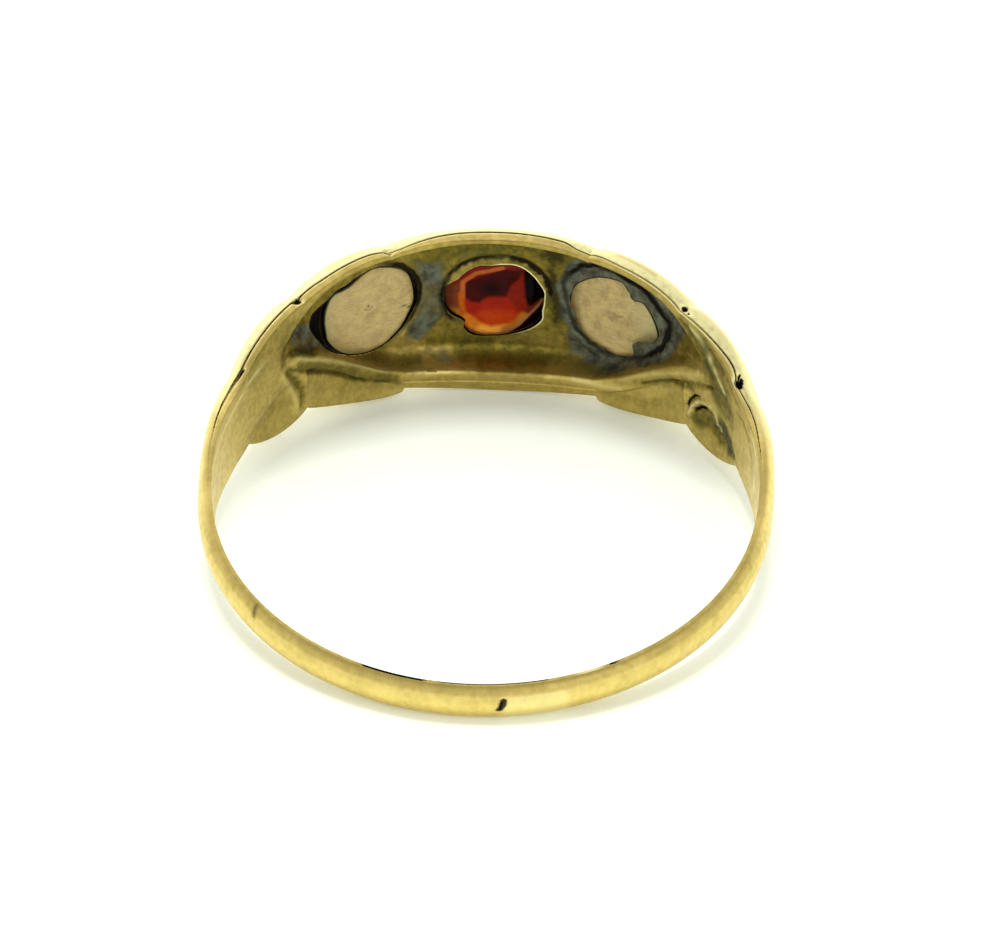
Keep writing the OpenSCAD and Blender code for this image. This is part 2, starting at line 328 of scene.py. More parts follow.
SEAMS = (
    Seam(
        GARNET_SEAT,
        groove=((0, 1.83), (20, 1.9), (120, 1.9), (140, 1.68), (158, 1.83), (178, 1.86), (193, 1.89),
            (207, 1.91), (226, 1.93), (244, 1.88), (270, 1.84), (293, 1.95), (310, 2.02), (329, 2.03),
            (347, 1.93), (360, 1.83)),
        dark=((0, 0.3), (10, 0), (130, 0), (150, 1), (200, 1.3), (260, 1), (290, 1.1), (318, 1.9),
            (342, 1.8), (352, 0.9), (360, 0.3)),
        edge_highlight=((0, 1), (25, 1), (45, 0.7), (60, 0.2), (80, 0), (135, 0), (150, 0.12), (262, 0.15),
            (278, 1), (360, 1))),
    # The left seat's groove is shallow; its dark paints soft shade beside the pearl
    Seam(
        LEFT_SEAT,
        groove=((0, 1.85), (12, 1.76), (28, 1.65), (44, 1.6), (60, 1.6), (120, 1.9), (291, 1.9),
            (327, 1.98), (348, 1.93), (360, 1.85)),
        dark=((0, 1.8), (30, 0.9), (55, 0.4), (70, 0), (270, 0), (290, 0.9), (315, 1.9), (340, 2),
            (360, 1.8))),
    Seam(
        RIGHT_SEAT,
        groove=((0, 2.08), (6, 2.04), (26, 1.88), (47, 1.74), (77, 1.63), (102, 1.66), (126, 1.69),
            (143, 1.78), (161, 1.78), (182, 1.92), (201, 2.18), (224, 2.12), (241, 2.05), (257, 1.95),
            (279, 1.83), (296, 1.9), (312, 1.92), (333, 1.99), (347, 2.18), (360, 2.08)),
        dark=((0, 1.6), (25, 1.3), (45, 0.9), (80, 0.55), (100, 0.7), (140, 0.9), (170, 0.7),
            (200, 0.8), (225, 1.3), (262, 0.9), (290, 1.5), (330, 1.3), (360, 1.6))),
)


def deselect() -> None:
    """Leave nothing selected, so that the next operator acts on its own piece alone."""
    if bpy.context.object and bpy.context.object.mode != "OBJECT":
        bpy.ops.object.mode_set(mode="OBJECT")
    bpy.ops.object.select_all(action="DESELECT")


def pick(piece: bpy.types.Object) -> None:
    """Select one piece alone and make it active.

    Args:
        piece: the piece to select.
    """
    deselect()
    piece.select_set(True)
    bpy.context.view_layer.objects.active = piece


def points_of(piece: bpy.types.Object) -> np.ndarray:
    """Read the corners of a piece's mesh.

    Args:
        piece: the piece to read.

    Returns:
        Rows of x, y and z.
    """
    found = np.zeros(3 * len(piece.data.vertices), np.float32)
    piece.data.vertices.foreach_get("co", found)
    return found.reshape(-1, 3).astype(float)


def move_points(piece: bpy.types.Object, points: np.ndarray) -> None:
    """Put the corners of a piece's mesh at new places."""
    piece.data.vertices.foreach_set("co", points.astype(np.float32).ravel())
    piece.data.update()


def close_up(piece: bpy.types.Object, merge: float = 1e-5) -> None:
    """Merge the doubles of a mesh and turn its faces outwards.

    Args:
        piece: the piece to mend.
        merge: corners nearer than this become one.
    """
    pick(piece)
    bpy.ops.object.mode_set(mode="EDIT")
    bpy.ops.mesh.select_all(action="SELECT")
    bpy.ops.mesh.remove_doubles(threshold=merge)
    bpy.ops.mesh.normals_make_consistent(inside=False)
    bpy.ops.object.mode_set(mode="OBJECT")


def start_ring(name: str, steps: int, radius: float, height: float, fill: str) -> bpy.types.Object:
    """Add a circle and leave it in edit mode, selected, to be extruded along Z.

    Args:
        name: name of the new piece.
        steps: its corners.
        radius: its radius.
        height: its height.
        fill: Blender's name of the way that it is filled.

    Returns:
        The new piece, at the origin.
    """
    deselect()
    bpy.ops.mesh.primitive_circle_add(vertices=steps, radius=radius, fill_type=fill,
                                      location=(0, 0, height))
    piece = bpy.context.object
    piece.name = name
    bpy.ops.object.transform_apply(location=True, rotation=True, scale=True)
    bpy.ops.object.mode_set(mode="EDIT")
    bpy.ops.mesh.select_all(action="SELECT")
    return piece


def raise_ring(start: tuple[float, float], end: tuple[float, float]) -> None:
    """Extrude what is selected along Z and widen or narrow it.

    Args:
        start: radius and height of what is selected.
        end: the next radius and height.
    """
    (r0, z0), (r1, z1) = start, end
    bpy.ops.mesh.extrude_region_move(TRANSFORM_OT_translate={"value": (0, 0, z1 - z0)})
    bpy.ops.transform.resize(value=(r1 / r0, r1 / r0, 1), center_override=(0, 0, z1))


def turned(name: str, profile: Pairs, steps: int = 96) -> bpy.types.Object:
    """Turn a profile round Z into a closed solid.

    Args:
        name: name of the new piece.
        profile: radius and height of each corner, from the axis back to the axis.
        steps: corners of one turn.

    Returns:
        The new piece, at the origin.
    """
    piece = start_ring(name, steps, *profile[1], "NOTHING")
    for start, end in zip(profile[1:-2], profile[2:-1]):
        raise_ring(start, end)
    bpy.ops.mesh.select_mode(type="EDGE")
    bpy.ops.mesh.select_all(action="DESELECT")
    bpy.ops.mesh.select_non_manifold()
    bpy.ops.mesh.edge_face_add()
    bpy.ops.mesh.select_mode(type="VERT")
    bpy.ops.object.mode_set(mode="OBJECT")
    close_up(piece)
    return piece


def boolean(body: bpy.types.Object, tool: bpy.types.Object, operation: str) -> None:
    """Unite a tool with a body or cut it away, and delete the tool.

    Args:
        body: the piece that is changed.
        tool: the piece that is added or taken away.
        operation: UNION or DIFFERENCE.
    """
    pick(body)
    step = body.modifiers.new(operation, "BOOLEAN")
    step.operation = operation
    step.solver = "MANIFOLD"
    step.object = tool
    bpy.ops.object.modifier_apply(modifier=step.name)
    bpy.data.objects.remove(tool)


def smooth_to(piece: bpy.types.Object, angle: float) -> None:
    """Shade a piece smooth, apart from edges sharper than an angle in degrees."""
    pick(piece)
    bpy.ops.object.shade_smooth_by_angle(angle=math.radians(angle))


def paint(piece: bpy.types.Object, name: str, colours: np.ndarray) -> None:
    """Keep a colour, or four masks, at each corner of a mesh.

    Args:
        piece: the piece to mark.
        name: name of the attribute that its finish reads.
        colours: rows of red, green, blue and alpha.
    """
    layer = piece.data.attributes.new(name, "FLOAT_COLOR", "POINT")
    layer.data.foreach_set("color", np.clip(colours, 0, 1).astype(np.float32).ravel())


class Part(Enum):
    """Material slots of the record; each piece carries one."""

    GOLD = "gold"
    GARNET = "garnet"
    PEARL = "pearl"


class Graph:
    """A material's nodes, with short calls for what the finishes share."""

    # Places of the colour sockets of a Mix node
    MIX_SHARE, MIX_FIRST, MIX_SECOND, MIX_RESULT = 0, 6, 7, 2

    def __init__(self, name: str) -> None:
        """Start a material.

        Args:
            name: plain name of the finish.
        """
        self.material = bpy.data.materials.new(name)
        self.material.use_nodes = True
        self.tree = self.material.node_tree
        self.shader = self.tree.nodes["Principled BSDF"]
        self.object = self.node("ShaderNodeTexCoord").outputs["Object"]

    def node(self, kind: str, **values: object) -> bpy.types.Node:
        """Add a node.

        Args:
            kind: Blender's name of the node.
            values: properties of the node by name.

        Returns:
            The new node.
        """
        made = self.tree.nodes.new(kind)
        for key, value in values.items():
            setattr(made, key, value)
        return made

    def feed(self, socket: bpy.types.NodeSocket, value: object) -> None:
        """Link a socket to another one's output, or set its value.

        Args:
            socket: the socket to feed.
            value: value or link.
        """
        if isinstance(value, bpy.types.NodeSocket):
            self.tree.links.new(value, socket)
        else:
            socket.default_value = value

    def set(self, name: str, value: object) -> None:
        """Give the shader's own socket a value or a link."""
        self.feed(self.shader.inputs[name], value)

    def noise(self, size: float, detail: float = 3.0, stretch: Triple = (1, 1, 1),
              seed: float = 0.0) -> bpy.types.NodeSocket:
        """Noise in the piece's own space.

        Args:
            size: size of its lumps in millimetres.
            detail: octaves.
            stretch: scale along each axis.
            seed: shift that gives another pattern.

        Returns:
            The noise's value, about 0.2 to 0.8.
        """
        mapping = self.node("ShaderNodeMapping")
        self.feed(mapping.inputs["Vector"], self.object)
        mapping.inputs["Location"].default_value = (seed, seed, seed)
        mapping.inputs["Scale"].default_value = stretch
        made = self.node("ShaderNodeTexNoise")
        self.feed(made.inputs["Vector"], mapping.outputs["Vector"])
        made.inputs["Scale"].default_value = 1 / (size * MM)
        made.inputs["Detail"].default_value = detail
        return made.outputs["Fac"]

    def math(self, operation: str, first: object, second: object = 0.0,
             clamp: bool = False) -> bpy.types.NodeSocket:
        """Combine two values.

        Args:
            operation: Blender's name of the sum.
            first: first value or link.
            second: second value or link.
            clamp: hold the result from 0 to 1.

        Returns:
            The result.
        """
        made = self.node("ShaderNodeMath", operation=operation, use_clamp=clamp)
        self.feed(made.inputs[0], first)
        self.feed(made.inputs[1], second)
        return made.outputs[0]

    def add(self, first: object, second: object, clamp: bool = False) -> bpy.types.NodeSocket:
        """Sum of two values."""
        return self.math("ADD", first, second, clamp)

    def times(self, first: object, second: object, clamp: bool = False) -> bpy.types.NodeSocket:
        """Product of two values."""
        return self.math("MULTIPLY", first, second, clamp)

    def weigh(self, first: object, second: object, share: float) -> bpy.types.NodeSocket:
        """Sum of a share of the first value and the rest of the second."""
        return self.add(self.times(first, share), self.times(second, 1 - share))

    def most(self, first: object, second: object) -> bpy.types.NodeSocket:
        """Larger of two values."""
        return self.math("MAXIMUM", first, second)

    def fade(self, value: object, low: float, high: float, start: float = 0.0,
             end: float = 1.0) -> bpy.types.NodeSocket:
        """Map a value smoothly from one range to another.

        Args:
            value: value or link to map.
            low: value that gives the start.
            high: value that gives the end.
            start: result at low.
            end: result at high.

        Returns:
            The result.
        """
        made = self.node("ShaderNodeMapRange", interpolation_type="SMOOTHSTEP")
        for key, item in zip(("Value", "From Min", "From Max", "To Min", "To Max"),
                             (value, low, high, start, end)):
            self.feed(made.inputs[key], item)
        return made.outputs["Result"]

    def mix(self, share: object, first: object, second: object,
            blend: str = "MIX") -> bpy.types.NodeSocket:
        """Mix two colours.

        Args:
            share: share of the second colour.
            first: first colour or link.
            second: second colour or link.
            blend: Blender's name of the way they mix.

        Returns:
            The mixed colour.
        """
        made = self.node("ShaderNodeMix", data_type="RGBA", blend_type=blend)
        self.feed(made.inputs[self.MIX_SHARE], share)
        for place, colour in ((self.MIX_FIRST, first), (self.MIX_SECOND, second)):
            linked = isinstance(colour, bpy.types.NodeSocket)
            self.feed(made.inputs[place], colour if linked else (*colour, 1))
        return made.outputs[self.MIX_RESULT]

    def masks(self, name: str) -> tuple[bpy.types.NodeSocket, ...]:
        """Read the masks painted on a piece.

        Args:
            name: name of the attribute.

        Returns:
            Its red, green, blue and alpha.
        """
        found = self.node("ShaderNodeAttribute", attribute_name=name)
        split = self.node("ShaderNodeSeparateColor")
        self.feed(split.inputs[0], found.outputs["Color"])
        return (*split.outputs[:3], found.outputs["Alpha"])

    def bump(self, height: bpy.types.NodeSocket, depth: float, strength: float) -> None:
        """Roughen the surface.

        Args:
            height: noise from 0 to 1.
            depth: height of the roughness in millimetres.
            strength: share of it that shows.
        """
        made = self.node("ShaderNodeBump")
        made.inputs["Strength"].default_value = strength
        made.inputs["Distance"].default_value = depth * MM
        self.feed(made.inputs["Height"], height)
        self.set("Normal", made.outputs["Normal"])


@dataclass(frozen=True)
class GoldWearAndLight:
    """Old pale gold: bright where use has polished it and where highlights are painted, olive in the
    hollow, partly as painted shade, grey at the solder.

    It reads the masks "wear" (tarnish, solder, soot and pale: tarnish takes in painted shade of the
    hollow and of the shank's upper side, soot painted shade of gaps and creases beside grime, and
    pale painted highlights beside polished metal) and "seams" (distances from a hole's edge and from
    a groove, strengths of the groove's dark and of the painted highlight along the hole's edge).
    Tarnish, distances and the groove's strength are halved there.
    """

    # Pale is laid for metal bright from use and for painted highlights; olive, brown and deep for
    # dulled metal and for painted shade inside; the near-black for grime and for painted shade in gaps
    # and creases
    bright: Colour = (0.83, 0.64, 0.20)
    olive: Colour = (0.20, 0.15, 0.02)
    brown: Colour = (0.11, 0.1, 0.024)
    deep: Colour = (0.045, 0.036, 0.011)
    solder: Colour = (0.125, 0.135, 0.085)
    ash: Colour = (0.024, 0.023, 0.013)
    soot_and_shade: Colour = (0.004, 0.003, 0.002)
    pale: Colour = (1.0, 0.94, 0.48)
    # Half widths in mm of a groove's dark core and of its soft edge
    ditch_core: float = 0.02
    ditch_edge: float = 0.18
    # The painted highlight along a hole's edge reaches from the first distance to the second, and
    # the hole's wall is painted black, as shade, below the third and bare above the fourth, in halved
    # mm
    rub_and_highlight: tuple[float, float] = (0.006, 0.034)
    wall: tuple[float, float] = (-0.0038, -0.0008)

    def make(self) -> bpy.types.Material:
        """Build the material out of its layers, from the bare metal to the near-black of grime and
        painted shade.

        Returns:
            The material.
        """
        g = Graph("gold_wear_and_light")
        half, solder, soot_and_shade, pale = g.masks("wear_and_light")
        tarnish_and_shade = g.times(half, 1 / HALF)
        broad, fine = g.noise(0.6, 4.0), g.noise(0.2, 3.0, seed=0.3)
        speck, lump = g.noise(0.08, 2.0, seed=0.7), g.noise(0.42, 3.0, seed=0.9)
        cloud = g.weigh(broad, fine, 0.5)
        dull = g.add(tarnish_and_shade, g.fade(cloud, 0.35, 0.65, -0.07, 0.07), clamp=True)
        colour = self.tarnished_and_shaded(g, tarnish_and_shade, dull, cloud)
        smear = g.fade(g.add(solder, g.fade(broad, 0.3, 0.7, -0.22, 0.22)), 0.1, 0.8)
        mottle = g.fade(g.weigh(lump, fine, 0.65), 0.36, 0.66)
        colour = g.mix(smear, colour, g.mix(mottle, self.ash, self.solder))
        ditch, lit, wall = self.seams(g, broad, fine, lump)
        # Pale metal where use has polished it and where highlights are painted
        rub_and_highlight = g.times(pale, g.fade(fine, 0.25, 0.55, 0.6, 1.0))
        colour = g.mix(g.most(lit, rub_and_highlight), colour, self.pale)
        # Near-black for grime and specks, and for painted shade in gaps, creases and the holes' walls
        black = g.fade(g.add(soot_and_shade, g.fade(speck, 0.3, 0.7, -0.12, 0.12)), 0.3, 0.65)
        black = g.most(g.most(black, ditch), wall)
        g.set("Base Color", g.mix(black, colour, self.soot_and_shade))
        g.set("Metallic", g.fade(g.most(black, g.times(smear, 0.6)), 0.0, 1.0, 1.0, 0.0))
        g.set("Specular IOR Level", g.fade(black, 0.0, 1.0, 0.5, 0.03))
        g.set("Roughness", g.add(g.fade(dull, 0.0, 0.7, 0.32, 0.5),
                                 g.fade(fine, 0.3, 0.7, -0.05, 0.08), clamp=True))
        g.bump(g.weigh(fine, speck, 0.7), 0.035, 0.5)
        return g.material

    def tarnished_and_shaded(self, g: Graph, tarnish_and_shade: bpy.types.NodeSocket, dull: bpy.types.NodeSocket,
                  cloud: bpy.types.NodeSocket) -> bpy.types.NodeSocket:
        """Colour of the metal, from bright through olive and brown to nearly black.

        Args:
            g: the material's nodes.
            tarnish_and_shade: strength of the tarnish, up to 2.
            dull: the same, clouded and held to 1.
            cloud: noise that breaks it up.

        Returns:
            The colour.
        """
        colour = g.mix(dull, self.bright, self.olive)
        stain = g.times(g.fade(tarnish_and_shade, 0.5, 1.3), g.fade(cloud, 0.36, 0.66), clamp=True)
        colour = g.mix(stain, colour, self.brown)
        black = g.fade(g.add(tarnish_and_shade, g.fade(cloud, 0.3, 0.7, -0.2, 0.2)), 1.1, 1.9)
        return g.mix(black, colour, self.deep)

    def seams(self, g: Graph, broad: bpy.types.NodeSocket, fine: bpy.types.NodeSocket,
              lump: bpy.types.NodeSocket) -> tuple[bpy.types.NodeSocket, ...]:
        """Lines of the seams, drawn from the distances that the masks hold.

        Args:
            g: the material's nodes.
            broad: noise that makes a groove wander.
            fine: finer noise that does the same.
            lump: noise that breaks a groove's dark up.

        Returns:
            Strengths of the grooves' dark, of the painted highlights along the holes' edges and of
            the holes' walls, painted black as shade.
        """
        edge, away, dark, edge_highlight = g.masks("seams")
        # A groove's distance in mm is what is left of the mask once its zero is taken off again
        wave = g.add(g.fade(broad, 0.3, 0.7, -0.04, 0.04), g.fade(fine, 0.3, 0.7, -1.02, -0.98))
        out = g.math("ABSOLUTE", g.add(g.times(away, 1 / HALF), wave))
        ditch = g.times(dark, g.fade(out, self.ditch_core, self.ditch_edge, 1 / HALF, 0.0))
        ditch = g.times(ditch, g.fade(lump, 0.3, 0.6, 0.6, 1.0), clamp=True)
        # Painted highlight along a hole's edge
        low, high = (EDGE_ZERO + distance for distance in self.rub_and_highlight)
        lit = g.times(edge_highlight, g.fade(edge, low, high, 0.85, 0.0))
        # A hole's wall below its edge is painted black, as shade
        low, high = (EDGE_ZERO + distance for distance in self.wall)
        wall = g.fade(edge, low, high, 1.0, 0.0)
        return g.times(ditch, 0.95), g.math("SUBTRACT", lit, wall, clamp=True), wall


@dataclass(frozen=True)
class CutGarnet:
    """Orange-red garnet whose inner glow is painted on its facets as the colour "glow"."""

    # Strength of the light that the stone gives off: a painted glow of its own colour
    glow: float = 0.35
    smoke: Colour = (0.5, 0.5, 0.5)

    def make(self) -> bpy.types.Material:
        """Build the material, whose painted alpha gives the front its polish.

        Returns:
            The material.
        """
        g = Graph("cut_garnet")
        found = g.node("ShaderNodeAttribute", attribute_name="glow")
        cloud = g.fade(g.noise(0.25, 3.0), 0.3, 0.7, 0.0, 0.35)
        colour = g.mix(cloud, found.outputs["Color"], self.smoke, "MULTIPLY")
        g.set("Base Color", colour)
        # The stone gives its painted colour off as light, a painted glow
        g.set("Emission Color", colour)
        g.set("Emission Strength", self.glow)
        g.set("Roughness", 0.12)
        g.set("IOR", 1.76)
        g.set("Specular IOR Level", g.fade(found.outputs["Alpha"], 0.0, 1.0, 0.03, 0.5))
        g.bump(g.noise(0.5, 2.0), 0.01, 0.2)
        return g.material


@dataclass(frozen=True)
class SplitPearl:
    """Matt sawn back with faint rings, and a lustrous domed front."""

    back: Colour = (0.575, 0.44, 0.168)
    stain: Colour = (0.36, 0.25, 0.09)
    front: Colour = (0.68, 0.62, 0.49)
    sheen: Colour = (0.66, 0.57, 0.47)
    dark: Colour = (0.015, 0.011, 0.007)
    chalk: Colour = (0.68, 0.56, 0.31)
    moss: Colour = (0.42, 0.42, 0.20)

    def make(self) -> bpy.types.Material:
        """Build the material, which reads the masks "shell": sawn, stain, dark and green.

        Returns:
            The material.
        """
        g = Graph("split_pearl")
        sawn, stain, dark, green = g.masks("shell")
        fine, broad = g.noise(0.1, 4.0), g.noise(0.5, 3.0, seed=0.4)
        scratch = g.noise(0.3, 3.0, stretch=(1.0, 1.0, 5.0), seed=0.2)
        aged = g.add(stain, g.fade(broad, 0.4, 0.7, 0.0, 0.5), clamp=True)
        back = g.mix(aged, self.back, self.stain)
        back = g.mix(g.fade(fine, 0.5, 0.72, 0.0, 0.4), back, self.chalk)
        back = g.mix(g.fade(scratch, 0.52, 0.68, 0.0, 0.5), back, self.stain)
        back = g.mix(green, back, self.moss)
        front = g.mix(g.fade(broad, 0.35, 0.65), self.front, self.sheen)
        g.set("Base Color", g.mix(dark, g.mix(sawn, front, back), self.dark))
        g.set("Roughness", g.fade(sawn, 0.0, 1.0, 0.18, 0.62))
        g.set("Specular IOR Level", g.fade(dark, 0.0, 1.0, 0.5, 0.05))
        g.set("Subsurface Weight", 0.12)
        g.set("Subsurface Radius", (0.4, 0.3, 0.2))
        g.set("Subsurface Scale", 0.3 * MM)
        g.bump(fine, 0.02, 0.35)
        return g.material


@dataclass(frozen=True)
class Stroke:
    """A worked line on the inside of the ring: corners at (angle, height), in degrees and mm.

    The cut is its depth, below 0 for a raised line. The rest are strengths of its marks: its dark
    paints the shade of its crease along with any grime there, its pale paints a highlight along a
    raised line, and its dulling darkens the metal.
    """

    line: Pairs
    width: float
    cut: float = 0.0
    soot_and_shade: float = 0.0
    pale: float = 0.0
    dull: float = 0.0

    def mask(self, angle: np.ndarray, w: np.ndarray) -> np.ndarray:
        """Measure how near points are to the line.

        Args:
            angle: angles of the points in degrees.
            w: their heights in mm.

        Returns:
            A value from 0 to 1 for each.
        """
        scale = math.radians(INNER_R)
        line = tuple((a * scale, h) for a, h in self.line)
        return near(to_line(angle * scale, w, line), 0, self.width)


@dataclass(frozen=True)
class Pit:
    """A mark on the upper edge: a dot, or a ring where its ring radius is above 0."""

    # Angle in degrees and distance out from the finger, in mm like the rest
    angle: float
    out: float
    radius: float
    cut: float
    ring: float = 0.0
    # Strength of its dark
    soot_and_shade: float = 1.2

    def mask(self, angle: np.ndarray, depth: np.ndarray) -> np.ndarray:
        """How near points of the edge are to the mark, from 0 to 1."""
        along = np.radians(angle - self.angle) * (INNER_R + self.out)
        return near(np.hypot(along, depth - self.out), self.ring, self.radius)


@dataclass(frozen=True)
class Patch:
    """A stain inside the ring, with corners in degrees and mm like those of a stroke."""

    outline: Pairs
    # Half the width of its edge in mm
    soft: float
    # Share of solder, and tarnish that is added, or taken off where it is below 0
    solder: float = 0.0
    dull: float = 0.0


def patch_mask(kind: str, angle: np.ndarray, w: np.ndarray) -> np.ndarray:
    """Add up the patches of one kind.

    Args:
        kind: field of the patch, solder or dull.
        angle: angles of the points in degrees.
        w: their heights in mm.

    Returns:
        The added strength at each point.
    """
    scale = math.radians(INNER_R)
    total = np.zeros(np.shape(angle))
    for patch in PATCHES:
        if getattr(patch, kind):
            outline = tuple((a * scale, h) for a, h in patch.outline)
            total = total + getattr(patch, kind) * inside(angle * scale, w, outline, patch.soft)
    return total


# The dark lines under the ribs and in the crevices by the right-hand tab are painted shade, with any
# grime in them; the pale lines on the raised ribs, the tab's edge and the loops are painted highlights
STROKES = (
    Stroke(((-53.2, 0.16), (-50.9, -0.44), (-49.0, -1.1), (-49.3, -1.7)), width=0.12, cut=0.08,
        soot_and_shade=0.3, dull=0.35),
    Stroke(((-55, 0.2), (-53.6, -0.25), (-52.0, -0.8), (-51.0, -1.35), (-51.2, -1.9)), width=0.1,
        cut=-0.05, pale=0.12),
    Stroke(((-52.6, 0.19), (-47.5, -0.37), (-42.7, -0.85), (-38.7, -1.31), (-35.5, -1.72),
        (-31.1, -2.16), (-26.8, -2.41)), width=0.09, cut=0.09, soot_and_shade=0.35, dull=0.4),
    Stroke(((-50.1, 0.5), (-45.2, 0.0), (-38.5, -0.68), (-32.2, -1.34), (-26.7, -1.9)), width=0.1,
        cut=-0.03, pale=0.12),
    Stroke(((-51.5, 0.8), (-48.6, 0.6), (-45.8, 0.28), (-43.5, 0.22)), width=0.11, dull=0.9),
    Stroke(((-41, 2.2), (-44, 1.9), (-45.3, 1.3), (-44.3, 0.6), (-42, 0.2)), width=0.16, soot_and_shade=0.2,
        dull=0.3),
    Stroke(((34.7, -1.4), (38.1, -1.02), (43.0, -0.52), (47.6, -0.14), (53.4, 0.38), (56, 0.62)),
        width=0.07, cut=0.09, soot_and_shade=0.4, dull=0.4),
    Stroke(((43.1, -0.58), (46.1, -0.44), (49.3, -0.24)), width=0.1, cut=0.05, soot_and_shade=0.35, dull=0.4),
    Stroke(((28.6, -1.65), (33.8, -1.05), (39.2, -0.5), (45.2, 0.1), (51.5, 0.7)), width=0.1,
        cut=-0.03, pale=0.12),
    Stroke(((48.5, -1.43), (49.2, -1.04), (50.7, -0.7), (53, -0.43), (55.7, -0.23), (57.4, -0.14),
        (58.6, -0.29), (59.4, -0.46), (59.9, -0.58)), width=0.045, cut=-0.06, pale=0.6),
    Stroke(((59.9, -0.55), (60.9, -0.53), (61.5, -0.65), (61.2, -0.87)), width=0.04, cut=-0.05,
        pale=0.6),
    Stroke(((47.9, -1.1), (48.3, -0.83), (49.6, -0.52), (51.7, -0.33)), width=0.055, cut=0.12,
        soot_and_shade=1.0),
    Stroke(((49.9, -1.15), (51.6, -0.86), (54.0, -0.67), (56.4, -0.57), (58.2, -0.72)), width=0.07,
        cut=0.14, soot_and_shade=0.9),
    Stroke(((58.7, -0.75), (60.0, -0.82), (60.4, -1.05)), width=0.06, cut=0.1, soot_and_shade=0.9),
    Stroke(((51.0, -1.5), (53.5, -1.2), (56.5, -1.1), (60, -1.2)), width=0.26, cut=0.04, soot_and_shade=0.1,
        dull=0.6),
    Stroke(((43.9, 2.3), (48, 2.05), (50.6, 1.79), (53.1, 1.4), (55.7, 1.03)), width=0.08, cut=0.05,
        soot_and_shade=0.25, dull=0.4),
    Stroke(((47.5, 2.36), (51, 2.1), (54, 1.8), (57, 1.4), (61, 1.0)), width=0.08, cut=-0.03,
        pale=0.6),
    Stroke(((50, 2.2), (57.4, 1.9), (61.9, 1.6), (65.9, 1.2), (70.4, 0.9), (75, 0.7), (78, 0.3),
        (79.5, -0.3)), width=0.07, cut=0.05, soot_and_shade=0.25, dull=0.3),
    Stroke(((76, 1.2), (80.6, 1.05), (83, 0.8), (83.6, 0.3), (82.6, -0.3), (81.7, -0.8)), width=0.08,
        cut=-0.03, pale=0.8),
    Stroke(((-60, 1.5), (-66, 1.25), (-74, 0.95), (-82, 0.85), (-92, 0.7)), width=0.08, pale=0.45),
    Stroke(((-19, -2.1), (-15, -2.2), (-12, -2.28)), width=0.16, pale=0.5),
    Stroke(((-12, -2.28), (-9.5, -2.35)), width=0.13, pale=0.3),
    Stroke(((-15.8, 1.9), (-14.0, 1.3), (-13.6, 0.7)), width=0.3, soot_and_shade=0.36),
    Stroke(((17, -2.36), (22, -2.3), (26, -2.22), (29, -2.1)), width=0.09, pale=0.35),
    Stroke(((-50, 2.1), (-54, 1.6), (-54.2, 1.0), (-53.8, 0.6)), width=0.25, cut=0.03, dull=0.25),
)
